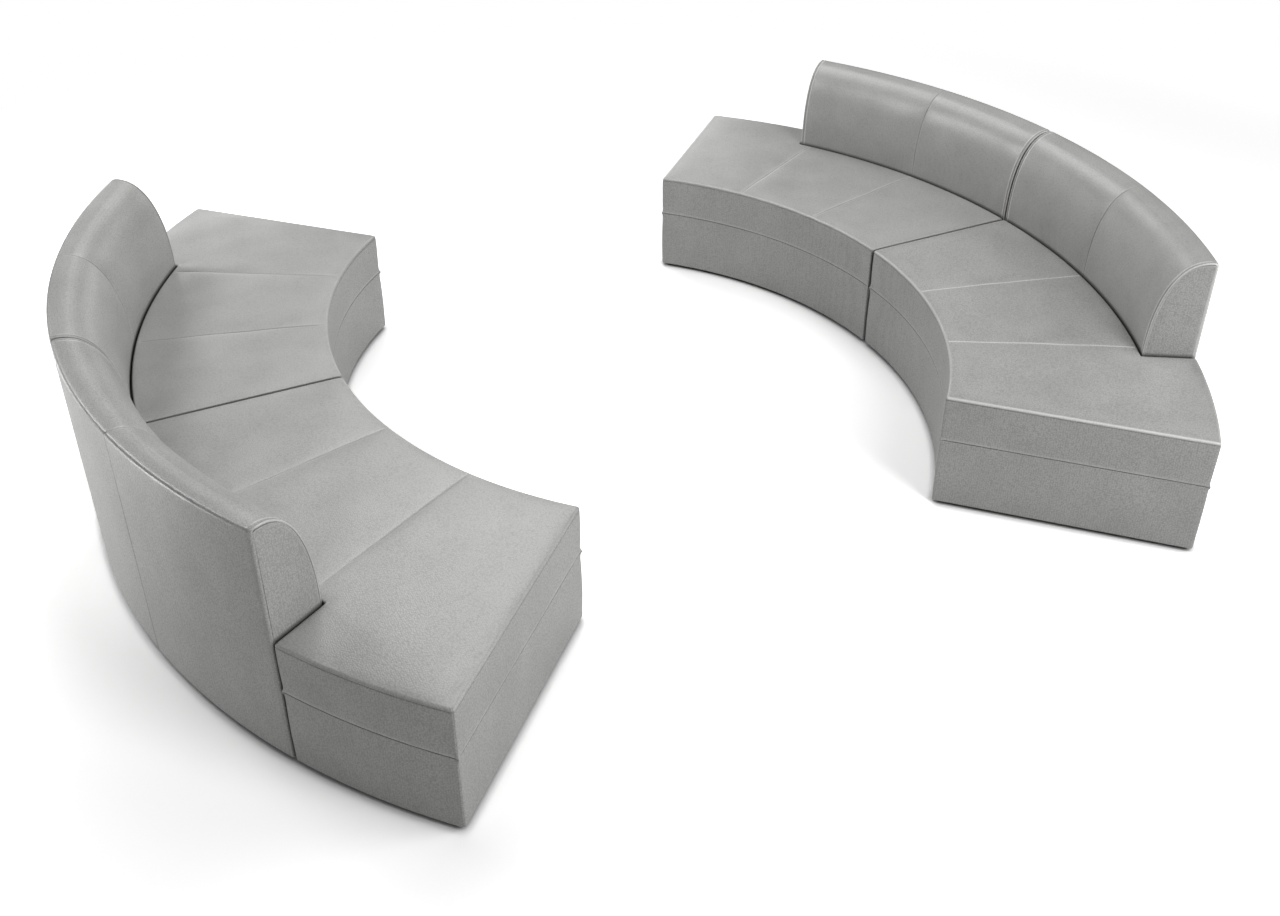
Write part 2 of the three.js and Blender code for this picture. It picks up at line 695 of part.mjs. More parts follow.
const moduleGeometries = {
  seat_cushion: [toGeometry(seatCushionSolid()), coverMaterial],
  seat_deck: [toGeometry(seatDeckSolid()), plywoodMaterial],
  base_cover: [toGeometry(baseCoverSolid()), coverMaterial],
  base_frame: [toGeometry(baseFrameSolid()), plywoodMaterial],
  dust_cover: [toGeometry(dustCoverSolid()), dustMaterial],
  back_cushion: [toGeometry(backCushionSolid()), coverMaterial],
  back_frame: [toGeometry(backFrameSolid()), plywoodMaterial],
};
const glide = glideGeometry();
const hook = hookGeometry();
const hookScrew = hookScrewGeometry();

function piece(name, geometry, material, [x, y] = [0, 0]) {
  const mesh = new THREE.Mesh(geometry, material);
  mesh.name = name;
  mesh.position.set(x, y, 0);
  return mesh;
}

// hand is 1 for a module that runs anticlockwise from its joint, and -1 for its mirror image
function makeModule(place, hand) {
  const group = new THREE.Group();
  for (const [name, [geometry, material]] of Object.entries(moduleGeometries))
    group.add(piece(`${name}_${place}`, hand > 0 ? geometry : mirrored(geometry), material));
  for (const [corner, [x, y]] of Object.entries(glidePlaces))
    group.add(piece(`glide_${place}_${corner}`, glide, glideMaterial, [x, hand * y]));
  return group;
}

// A crescent holds the two modules that meet at its joint, and the hooks under the joint.
// Turned is 180 for the left crescent, which also changes which hand the far module has.
function makeCrescent(side, turned) {
  const group = new THREE.Group();
  const farHand = turned ? -1 : 1;
  group.add(makeModule(`far_${side}`, farHand), makeModule(`near_${side}`, -farHand));
  hookPlaces.forEach(([radius, offset], i) => {
    const place = `${side}_${["inner", "outer"][i]}`;
    const pivot = [radius, farHand * offset];
    group.add(
      piece(`gang_hook_${place}`, farHand > 0 ? hook : mirrored(hook), hookMaterial, pivot),
      piece(`hook_pivot_${place}`, hookScrew, screwMaterial, pivot),
      piece(`hook_catch_${place}`, hookScrew, screwMaterial, [radius, -farHand * offset]),
    );
  });
  group.rotation.z = radians(turned);
  group.position.x = turned ? arcCentreOffset : -arcCentreOffset;
  return group;
}

const sofa = new THREE.Group();
sofa.add(makeCrescent("right", 0), makeCrescent("left", 180));

export default sofa;
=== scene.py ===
import math

import bpy
import numpy as np
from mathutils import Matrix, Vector


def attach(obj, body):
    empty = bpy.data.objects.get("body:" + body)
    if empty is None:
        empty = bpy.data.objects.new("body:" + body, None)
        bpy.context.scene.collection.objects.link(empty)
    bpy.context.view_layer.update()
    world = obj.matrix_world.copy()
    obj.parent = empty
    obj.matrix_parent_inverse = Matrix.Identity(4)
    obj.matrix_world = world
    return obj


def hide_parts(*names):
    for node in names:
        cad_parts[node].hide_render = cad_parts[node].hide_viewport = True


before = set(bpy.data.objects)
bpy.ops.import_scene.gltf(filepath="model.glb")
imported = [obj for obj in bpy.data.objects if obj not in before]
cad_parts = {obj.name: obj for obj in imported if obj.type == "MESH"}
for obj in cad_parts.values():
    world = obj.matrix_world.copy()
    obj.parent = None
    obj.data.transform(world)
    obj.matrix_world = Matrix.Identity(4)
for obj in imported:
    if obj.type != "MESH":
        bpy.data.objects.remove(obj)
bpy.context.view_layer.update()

# A round sofa: four curved, tightly upholstered modules in two crescents. Metres, +Z up.
print("frame loaded:", len(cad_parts), "nodes")

sofaBody = "sofa"

# Plan of a module about its arc centre: the joint on the +X ray, the free end at moduleAngle
plan = {
    "innerRadius": 1.524, "outerRadius": 2.426,
    "centreOffset": 0.381, "jointGap": 0.010,
    "moduleAngle": math.radians(45),
    "seatSeams": (math.radians(15), math.radians(30)),
    "backAngle": math.radians(31.4), "backSeam": math.radians(15),
    "backDepth": 0.193, "backClearance": 0.004,
}
heights = {"floorGap": 0.012, "bandSeam": 0.278, "deck": 0.347, "seat": 0.457, "top": 0.836}
places = {"far_right": (1, 1), "near_right": (1, -1), "far_left": (-1, 1), "near_left": (-1, -1)}
corners = ("inner_joint", "outer_joint", "inner_end", "outer_end")
innerRadius, outerRadius = plan["innerRadius"], plan["outerRadius"]
notchRadius = outerRadius - plan["backDepth"] - plan["backClearance"]
scene = bpy.context.scene
mm = 0.001
join = np.concatenate


def eachPlace(*values):
    return dict(zip(places, values))


# Coordinates side by side, each an array or one value
def stacked(*parts):
    return np.stack(np.broadcast_arrays(*parts), -1)


# From a module's own plan to the frame: side turns it to its crescent, hand mirrors it
def toFrame(points, place):
    side, hand = places[place]
    x = side * (points[..., 0] - plan["centreOffset"])
    return stacked(x, hand * points[..., 1], points[..., 2])


def addObject(name, data):
    thing = bpy.data.objects.new(name, data)
    scene.collection.objects.link(thing)
    return thing


# A mesh object from points and faces, turned over where the place mirrors it
def makePiece(name, points, faces, place=None, attributes=None, smooth=True):
    if place:
        points = toFrame(points, place)
        if places[place][0] * places[place][1] < 0:
            faces = faces[:, ::-1]
    mesh = bpy.data.meshes.new(name)
    mesh.from_pydata(points, [], faces)
    for key, values in (attributes or {}).items():
        attribute = mesh.attributes.new(key, "FLOAT", "POINT")
        attribute.data.foreach_set("value", np.asarray(values, np.float32))
    mesh.polygons.foreach_set("use_smooth", np.full(len(faces), smooth))
    mesh.update()
    return addObject(name, mesh)


def numbered(*shape):
    return np.arange(math.prod(shape)).reshape(shape)


# Faces of a grid of point numbers, left out where a number is -1
def gridFaces(numbers):
    quads = stacked(numbers[:-1, :-1], numbers[1:, :-1], numbers[1:, 1:], numbers[:-1, 1:]).reshape(-1, 4)
    return quads[(quads >= 0).all(1)]


# Repeats the first column or row of point numbers at the end, to close a grid round
def wrapped(numbers, axis=1):
    return join([numbers, numbers.take([0], axis)], axis)


# Shares from 0 to 1 that crowd towards both ends: t - crowding sin(2 pi t) / (2 pi)
def crowded(count, crowding):
    t = np.linspace(0, 1, count + 1)
    return t - crowding * np.sin(2 * np.pi * t) / (2 * np.pi)


# Shares along a length: given offsets from each end, and even steps of about pitch between
def seamed(length, offsets, pitch):
    offsets = np.asarray(offsets) * mm
    count = max(2, round((length - 2 * offsets[-1]) / pitch))
    middle = np.linspace(offsets[-1], length - offsets[-1], count + 1)
    return join([offsets[:-1], middle, (length - offsets[::-1])[1:]]) / length


def bell(distance, width):
    return np.exp(-((distance / width) ** 2))


# Rises from 0 at an edge towards 1 away from it
def rise(distance, reach):
    return 1 - np.exp(-np.maximum(distance, 0) / reach)


# Grows evenly from 0 to 1 over a length from its start
def ramp(value, start, length):
    return np.clip((value - start) / length, 0, 1)


# Gentle waves over a surface: plane waves in seeded directions about one wavelength, within 1
def swell(x, y, wavelength, seed, count=6):
    random = np.random.default_rng(seed)
    turns = random.uniform(0, 2 * np.pi, count)
    lengths = wavelength * random.uniform(0.7, 1.6, count)
    phases = random.uniform(0, 2 * np.pi, count)
    waves = [np.sin(2 * np.pi * (x * math.cos(t) + y * math.sin(t)) / w + p)
             for t, w, p in zip(turns, lengths, phases)]
    return sum(waves) / count**0.5 / 1.4


# Plan grid of the seat box. Rows run outwards, in front of the notch and past it; columns run
# through four strips: joint, two seams, notch side, free end.
gridLayout = {
    "columnOffsets": (0, 1, 2, 3.2, 4.6, 6.4, 9, 13, 19, 27, 38),
    "rowOffsets": (0, 3, 7, 13, 20, 30),
    "pitch": 20 * mm,
    "narrowStripColumns": 8,
}
middleRadius = (innerRadius + notchRadius) / 2
stripAngles = np.diff([0, *plan["seatSeams"], plan["backAngle"], plan["moduleAngle"]])
frontShares = seamed(notchRadius - innerRadius, gridLayout["rowOffsets"], gridLayout["pitch"])
rearShares = seamed(outerRadius - notchRadius, gridLayout["rowOffsets"], gridLayout["pitch"])[1:]
rowShares = join([frontShares, rearShares])
rowRear = np.arange(len(rowShares)) >= len(frontShares)
stripShares = [
    seamed(turn * middleRadius, gridLayout["columnOffsets"], gridLayout["pitch"]) if strip != 2
    else crowded(gridLayout["narrowStripColumns"], 0.5)
    for strip, turn in enumerate(stripAngles)
]
stripShares[:3] = [shares[:-1] for shares in stripShares[:3]]
columnStrips = join([np.full(len(shares), strip) for strip, shares in enumerate(stripShares)])
columnShares = join(stripShares)
lastFront = len(frontShares) - 1
lastRow = len(rowShares) - 1
notchColumn = sum(len(shares) for shares in stripShares[:3])
lastColumn = len(columnShares) - 1


# Radius and angle of grid places, with the outline drawn in by inset. A ray's parallel at an
# offset is met at the arc sine of offset over radius.
def planPlace(row, column, inset):
    inner, notch, outer = innerRadius + inset, notchRadius - inset, outerRadius - inset
    rear, share = rowRear[row], rowShares[row]
    radius = np.where(rear, notch + (outer - notch) * share, inner + (notch - inner) * share)
    notchTurn = np.arcsin((plan["backClearance"] + inset) / np.where(rear, radius, notch))
    lines = np.stack([
        np.arcsin((plan["jointGap"] / 2 + inset) / radius),
        *(seam + 0 * radius for seam in plan["seatSeams"]),
        plan["backAngle"] + notchTurn,
        plan["moduleAngle"] - np.arcsin(inset / radius),
    ])
    strip = np.broadcast_to(columnStrips[column], radius.shape)[None]
    start, end = (np.take_along_axis(lines, strip + k, 0)[0] for k in (0, 1))
    return radius, start + (end - start) * columnShares[column], lines


# Anticlockwise loop of grid places round the outline, from the inner corner at the joint
def outlineLoop():
    sides = [
        [(row, 0) for row in range(lastFront)],
        [(lastFront, column) for column in range(notchColumn)],
        [(row, notchColumn) for row in range(lastFront, lastRow)],
        [(lastRow, column) for column in range(notchColumn, lastColumn)],
        [(row, lastColumn) for row in range(lastRow, 0, -1)],
        [(0, column) for column in range(lastColumn, 0, -1)],
    ]
    starts = np.cumsum([0] + [len(side) for side in sides])[:-1]
    loop = np.array([place for side in sides for place in side])
    return loop[:, 0], loop[:, 1], starts


loopRows, loopColumns, loopCorners = outlineLoop()
loopSize = len(loopRows)
outerCorners = np.delete(loopCorners, 2)  # the third corner is the notch's inner one
withinOutline = np.ones((lastRow + 1, lastColumn + 1), bool)
withinOutline[lastFront + 1:, :notchColumn] = False
withinOutline[loopRows, loopColumns] = False


def fromPolar(radius, angle, z):
    return stacked(radius * np.cos(angle), radius * np.sin(angle), z)


def ring(inset, z):
    return fromPolar(*planPlace(loopRows, loopColumns, inset)[:2], z)


# Length along the outline and distance from the nearest outer corner
loopPoints = ring(0, 0)
steps = np.linalg.norm(np.roll(loopPoints, -1, 0) - loopPoints, axis=1)
loopLength = join([[0], np.cumsum(steps)[:-1]])
girth = steps.sum()
away = np.abs(loopLength[:, None] - loopLength[outerCorners][None])
cornerDistance = np.minimum(away, girth - away).min(1)


# Points of an arc in a wall profile, as (inset, height) pairs
def profileArc(inset, z, radius, start, end, count):
    turn = np.radians(np.linspace(start, end, count + 1))
    return stacked(inset - radius * np.cos(turn), z + radius * np.sin(turn))


# Closed surface from rings, with a full grid at each end
def stackRings(rings, topGrid, bottomGrid):
    numbers = numbered(len(rings), loopSize)
    points, faces = [np.asarray(rings).reshape(-1, 3)], [gridFaces(wrapped(numbers))]
    for grid, ringNumber, step in ((topGrid, 0, 1), (bottomGrid, -1, -1)):
        gridNumbers = np.full(withinOutline.shape, -1)
        gridNumbers[loopRows, loopColumns] = numbers[ringNumber]
        gridNumbers[withinOutline] = sum(map(len, points)) + np.arange(withinOutline.sum())
        points.append(grid[withinOutline])
        faces.append(gridFaces(gridNumbers)[:, ::step])
    return join(points), join(faces)


# Values at a cover's points for the leather: the distance along its seams and across to the
# nearest one, how much painted highlight it takes, and how deep its pebbles and their painted shading are
leatherValues = ("seamAlong", "seamAcross", "paintedSheen", "grain")


# A cover rides on the sofa, in place of its solid
def makeCover(name, solid, place, points, faces, values):
    attributes = {key: join(parts) for key, parts in zip(leatherValues, values)}
    piece = makePiece(f"{name}_{place}", points, faces, place, attributes)
    modifier = piece.modifiers.new("Subdivision", "SUBSURF")
    modifier.levels = modifier.render_levels = 1
    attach(piece, sofaBody)
    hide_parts(f"{solid}_{place}")
    return piece


# Seat cushion: a tight top in three panels, a rounded top edge with a seam under it, and a band
# down to the band seam, with the recess that sits over the deck
seat = {
    "edgeRadius": 9 * mm, "edgeDraw": 1 * mm,
    "jointEdgeRadius": 3 * mm, "jointFade": 15 * mm, "sideDraw": 2.5 * mm,
    "lipRadius": 2.5 * mm, "skirt": 10 * mm, "crown": 7 * mm, "edgeReach": 0.050,
    "seamReach": 0.032, "topReach": 12 * mm,
    "seamHold": 0.35,  # crown that is left along a seam
    "seamDepth": eachPlace(1.8, 0.7, 2.0, 0.9),
    "seamWidth": 3.6 * mm,
    "edgeSeamDrop": 2.4 * mm, "edgeSeamDepth": 1.8 * mm, "edgeSeamWidth": 1.7 * mm,
    "bandSoftness": 0.8 * mm,
    "edgeSeamRows": (1.2, 2.4, 3.6, 5.2, 8),
    "cornerDepth": 2.2 * mm, "cornerWidth": 3.5 * mm,
    "nib": 7 * mm, "nibWidth": 5 * mm, "softness": 1.3 * mm, "softWavelength": 0.24,
    "wallSoftness": 0.5,  # share of the softness
    "wallWavelength": 0.3, "wallFade": 30 * mm,
    "pucker": 0.45 * mm, "puckerRise": 0.003, "puckerReach": 0.022,
    "foldWavelengths": (0.021, 0.16),
    "wallRows": 14, "seamLift": 0.3 * mm,
    # Depth of the pebbles and of their painted shading on top, where 1 is that of the sides
    "topGrainAndShade": eachPlace(0.55, 0.85, 0.45, 0.55),
    # The shine values are painted highlights in the colour: on the top edge, beside the seams and just above
    # the band seam
    "edgeShine": eachPlace(0.7, 1.6, 0.5, 0.3),
    "edgeShineSpread": 0.4,  # share of the edge's turn
    "sideShine": 0.45,  # edge shine other than at the free end
    "bandShine": 0.5, "bandShineRise": 3 * mm,
    "seamShine": eachPlace(0.6, 1.7, 0.25, 0.2),
    "shineFromSeam": eachPlace(5, 0, 5, 5),
    # Distance that softens the seams' painted shade, per module
    "softLine": eachPlace(0.6, 2.0, 0.5, 1.1),
}


# Small folds that run away from a seam and die out with distance from it
def puckers(along, distance, seed):
    short, long = seat["foldWavelengths"]
    fold = swell(along, 0 * along, short, seed, 4)
    fold *= 0.6 + 0.4 * swell(along, 0 * along, long, seed + 1, 3)
    return fold * rise(distance, seat["puckerRise"]) * np.exp(-distance / seat["puckerReach"])


# Corner seams draw a wall in, and a small nib stands out where they meet the band seam
def cornered(inset, fromBand, outside):
    inset = inset + seat["cornerDepth"] * bell(cornerDistance, seat["cornerWidth"]) * outside
    return inset - seat["nib"] * bell(cornerDistance, seat["nibWidth"]) * bell(fromBand, seat["nibWidth"])


def makeSeat(place, seed):
    top, bottom = heights["seat"], heights["bandSeam"] + seat["seamLift"]
    radius, draw, lip = seat["edgeRadius"], seat["edgeDraw"], seat["lipRadius"]
    shoulder = top - radius
    edge = profileArc(draw + radius, shoulder, radius, 90, 0, 6)
    drops = np.array(seat["edgeSeamRows"]) * mm / (shoulder - bottom - lip)
    share = join([drops, drops[-1] + (1 - drops[-1]) * np.linspace(0, 1, seat["wallRows"])[1:]])
    wallZ = shoulder + (bottom + lip - shoulder) * share
    wallInset = draw * (1 - share) ** 3 + seat["sideDraw"] * share**3
    under = profileArc(seat["sideDraw"] + lip, bottom + lip, lip, 0, -90, 4)[1:]
    recess = [[seat["skirt"], bottom], [seat["skirt"], heights["deck"]]]
    profile = join([edge, stacked(wallInset, wallZ), under, recess])

    seamZ = shoulder - seat["edgeSeamDrop"]
    atJoint = loopColumns == 0
    tightened = (radius - seat["jointEdgeRadius"]) * atJoint * rise(cornerDistance, seat["jointFade"])
    onEnd = np.where(loopColumns == lastColumn, 1.0, seat["sideShine"])
    rings, along, across, paintedSheen = [], [], [], []
    for k, (inset, z) in enumerate(profile):
        onEdge = k < len(edge)
        outside = 1.0 if z < top - 0.1 * mm and inset < seat["skirt"] - 0.1 * mm else 0.0
        fromEdge, fromBand = abs(z - seamZ), abs(z - bottom)
        inset += seat["edgeSeamDepth"] * bell(fromEdge, seat["edgeSeamWidth"]) * outside
        inset = cornered(inset, fromBand, outside)
        middle = ramp(min(top - z, z - bottom), 0, seat["wallFade"])
        slack = swell(loopLength, z, seat["wallWavelength"], seed + 5)
        inset -= seat["softness"] * seat["wallSoftness"] * slack * middle * outside
        inset -= seat["pucker"] * puckers(loopLength, fromBand, seed + 6) * outside
        inset -= seat["pucker"] * puckers(loopLength, fromEdge, seed + 7) * outside
        # The joint's edge is tighter, so its gap stays narrow and dark, and its walls below the edge take
        # painted shade
        turn = math.pi / 2 * max(1 - k / (len(edge) - 1), 0)
        tighter = tightened * onEdge
        rings.append(ring(inset - tighter * (1 - math.cos(turn)), z + tighter * (1 - math.sin(turn))))
        # Painted highlights in the colour: along the top edge, strongest at the free end, and just above the
        # band seam
        bandGlow = seat["bandShine"] * bell(fromBand - seat["bandShineRise"], seat["bandShineRise"]) * outside
        edgeGlow = seat["edgeShine"][place] * bell(k / (len(edge) - 1) - 0.5, seat["edgeShineSpread"])
        paintedSheen.append(edgeGlow * onEnd + bandGlow)
        nearest = stacked(fromEdge, fromBand, cornerDistance)
        choice = nearest.argmin(-1)
        along.append(np.where(choice == 2, z, loopLength))
        softened = nearest.min(-1) + np.where(choice == 1, seat["bandSoftness"], 0)
        # On the walls inside the joint the seam line is full: painted shade in the gap
        across.append(np.where(atJoint & (not onEdge), 0.0, softened if outside or onEdge else 1.0))

    # Height of the top: crown times the rises from the panel's edges, less a bell at each seam
    rows, columns = np.indices(withinOutline.shape)
    inset = draw + radius
    distance, angle, lines = planPlace(rows, columns, inset)
    pastNotch = columns >= notchColumn
    sideways, short = distance * (angle - lines[3]), (notchRadius - inset) - distance
    edges = [
        distance - innerRadius - inset,
        distance * (angle - lines[0]),
        distance * (lines[4] - angle),
        np.where(pastNotch, outerRadius - inset - distance, 1.0),
        np.where(pastNotch, np.hypot(sideways, np.maximum(short, 0)), short),
    ]
    seams = [distance * np.abs(angle - lines[k]) for k in (1, 2)]
    height = seat["crown"] * np.ones(rows.shape)
    for gap in edges:
        height *= rise(gap, seat["edgeReach"])
    onTop = np.minimum.reduce([rise(gap, seat["topReach"]) for gap in edges])
    seamDepth, hold = seat["seamDepth"][place] * mm, seat["seamHold"]
    for number, gap in enumerate(seams):
        height *= hold + (1 - hold) * rise(gap, seat["seamReach"])
        height -= seamDepth * bell(gap, seat["seamWidth"]) * onTop
        height += seat["pucker"] * puckers(distance, gap, seed + 8 + number) * onTop
    x, y = distance * np.cos(angle), distance * np.sin(angle)
    height += seat["softness"] * swell(x, y, seat["softWavelength"], seed) * onTop
    topGrid = fromPolar(distance, angle, top + height)
    skirtPlan = planPlace(rows, columns, seat["skirt"])[:2]
    points, faces = stackRings(rings, topGrid, fromPolar(*skirtPlan, heights["deck"]))

    nearestSeam = np.minimum(*seams)
    # The seam lines take painted shade, softened by a distance set per module
    softLine, fromSeam = seat["softLine"][place] * mm, seat["shineFromSeam"][place] * mm
    # Painted highlight beside the seams
    beside = seat["seamShine"][place] * bell(nearestSeam - fromSeam, seat["seamWidth"])
    topGrainAndShade, plain = seat["topGrainAndShade"][place], np.ones(withinOutline.sum())
    edgeGrainAndShade = topGrainAndShade + (1 - topGrainAndShade) * np.clip(np.arange(len(rings)) / len(edge), 0, 1)
    along += [distance[withinOutline]] * 2
    across += [nearestSeam[withinOutline] + softLine, plain]
    paintedSheen += [beside[withinOutline], 0 * plain]
    grain = [np.repeat(edgeGrainAndShade, loopSize), topGrainAndShade * plain, plain]
    piece = makeCover("seat_cover", "seat_cushion", place, points, faces, (along, across, paintedSheen, grain))
    return piece


# Base cover: the lower band round the box, with a rounded foot and a hem turned under
base = {
    "lipRadius": 2.5 * mm, "sideDraw": 2.5 * mm,
    "footRadius": 5 * mm, "footDraw": 1.5 * mm,
    "hemWidth": 34 * mm, "hemThickness": 3 * mm, "skirt": 10 * mm, "wallRows": 16,
    "softness": 0.9 * mm, "softWavelength": 0.34,
}


def makeBase(place, seed):
    bottom, top = heights["floorGap"], heights["bandSeam"] - seat["seamLift"]
    lip, foot, skirt, hemWidth = (base[key] for key in ("lipRadius", "footRadius", "skirt", "hemWidth"))
    crest = profileArc(base["sideDraw"] + lip, top - lip, lip, 90, 0, 4)
    share = crowded(base["wallRows"], 0.7)[1:]
    wallZ = top - lip + (bottom + foot - top + lip) * share
    wallInset = base["sideDraw"] * (1 - share) ** 3 + base["footDraw"] * share**3
    toe = profileArc(base["footDraw"] + foot, bottom + foot, foot, 0, -90, 6)[1:]
    hemTop = bottom + base["hemThickness"]
    hem = [[hemWidth, bottom], [hemWidth, hemTop], [skirt, hemTop], [skirt, (hemTop + top) / 2], [skirt, top]]
    profile = join([crest, stacked(wallInset, wallZ), toe, hem])
    rings, along, across = [], [], []
    for k, (inset, z) in enumerate(profile):
        outside = 1.0 if k < len(profile) - len(hem) else 0.0
        fromBand = abs(z - top)
        inset = cornered(inset, fromBand, outside)
        middle = ramp(min(top - z, z - bottom), 0, seat["wallFade"]) * outside
        inset -= base["softness"] * swell(loopLength, z, base["softWavelength"], seed) * middle
        inset -= seat["pucker"] * puckers(loopLength, fromBand, seed + 1) * outside
        rings.append(ring(inset, z))
        along.append(np.where(cornerDistance < fromBand, z, loopLength))
        nearest = np.minimum(cornerDistance, fromBand)
        # Seam lines at the band seam and the corners take painted shade
        across.append(nearest + seat["bandSoftness"] if outside else np.ones(loopSize))
    numbers = numbered(len(rings), loopSize)
    faces = gridFaces(wrapped(wrapped(numbers, 0)))
    values = along, across, [np.zeros(numbers.size)], [np.ones(numbers.size)]
    return makeCover("base_band", "base_cover", place, join(rings), faces, values)


# Back cushion: straight up from the floor, rolled over front and top in a superellipse, with one
# seam across its middle and end panels behind a welted edge
back = {
    "squareness": 2.4, "topEdgeRadius": 12 * mm, "footRadius": 5 * mm,
    "endRadius": 5 * mm, "outerEndRadius": 10 * mm, "jointBulge": 1.6 * mm,
    "crown": 8 * mm,
    "seamDepth": 1.4 * mm, "seamWidth": 3.0 * mm, "seamReach": 0.040,
    "weltPlaces": (2.6 * mm, 17 * mm), "weltHeight": 1.7 * mm, "weltWidth": 2.8 * mm,
    "endSeamPlace": 9.8 * mm, "endSeamDepth": 1.2 * mm, "endSeamWidth": 2.6 * mm,
    "seamSoftness": 0.6 * mm, "outerSeamSpread": 0.5,
    "endSeamSoftness": 1.4 * mm, "endCrown": 2.5 * mm, "softness": 1.1 * mm,
    "softWavelength": 0.28,
    "swellCentre": (0.45, 0.62),  # share of the depth from outside, height
    "swellUpwards": 0.5,  # against 1 outwards
    "endMargin": 12 * mm, "upperFade": 0.12, "frontReach": 0.07, "frontFade": 0.12,
    "rimHold": 20 * mm, "rimReach": 0.05,
    "footRamp": (0.03, 0.1),  # start and length
    "outerRamp": (-0.03, 0.02),
    # The shine values are painted highlights in the colour: on the welts, beside the seam and along the outer
    # corners
    "weltShine": eachPlace(1.4, 1.6, 0.7, 1.2),
    "cornerShine": eachPlace(0.5, 1.5, 0.1, 0.1),
    "cornerStrip": 15 * mm,
    # Depth of the pebbles and of their painted shading on the roll, where 1 is that of the outside
    "rollGrainAndShade": eachPlace(0.5, 0.5, 0.65, 0.8),
    "seamShine": 0.35, "shineFromSeam": 5 * mm,
    "pucker": 0.5 * mm, "puckerStart": 14 * mm,
    "columnOffsets": (0, 0.8, 1.7, 2.6, 3.7, 5, 6.6, 8.2, 9.8, 11.4,
                      13, 14.6, 15.8, 17, 18.2, 19.8, 23, 30, 40),
    "columnPitch": 17 * mm, "frontRows": 34,
    "lowRows": 10,  # of them below the roll
    "topRows": 16,
    "bendRows": 4,  # of them round the outer edge
}


# How far a quarter circle of this radius draws a surface in, by distance from its end
def rounding(distance, radius):
    return radius - np.sqrt(np.maximum(radius**2 - np.maximum(radius - distance, 0) ** 2, 0))


# One section of the back as a loop of (radius, height): front side, top side, outer side, foot.
# The roll is centre - reach cos^(2/n), start + rise sin^(2/n) of a turn from 0 to 90 degrees.
def backSides(inset):
    edge, foot = np.maximum(back["topEdgeRadius"] - inset, 2 * mm), back["footRadius"]
    start, bottom, power = heights["seat"], heights["floorGap"], 2 / back["squareness"]
    centre = outerRadius - back["topEdgeRadius"]
    reach = plan["backDepth"] - back["topEdgeRadius"] - inset
    height = heights["top"] - start - inset
    outer, front, outerTop = outerRadius - inset, centre - reach, heights["top"] - inset - edge
    rollRows = back["frontRows"] - back["lowRows"]

    lowShare = crowded(back["lowRows"], 0.5)[:-1, None]
    low = stacked(front, bottom + foot + (start - bottom - foot) * lowShare)
    turn = np.linspace(0, np.pi / 2, rollRows + 1 + back["topRows"] - back["bendRows"])[:, None]
    roll = stacked(centre - reach * np.cos(turn) ** power, start + height * np.sin(turn) ** power)
    bend = np.radians(np.linspace(90, 0, back["bendRows"] + 1)[1:, None])
    edgeRound = stacked(outer - edge + edge * np.cos(bend), outerTop + edge * np.sin(bend))
    outerShare = crowded(back["frontRows"], 0.6)[:, None]
    outerSide = stacked(outer, bottom + foot + (outerTop - bottom - foot) * outerShare)
    radii = front + (outer - front) * crowded(back["topRows"], 0.8)[:, None]
    footLine = stacked(radii, bottom + rounding(np.minimum(radii - front, outer - radii), foot))
    frontSide = join([low, roll[: rollRows + 1]])
    topSide = join([roll[rollRows:], edgeRound])
    return frontSide, topSide, outerSide, footLine


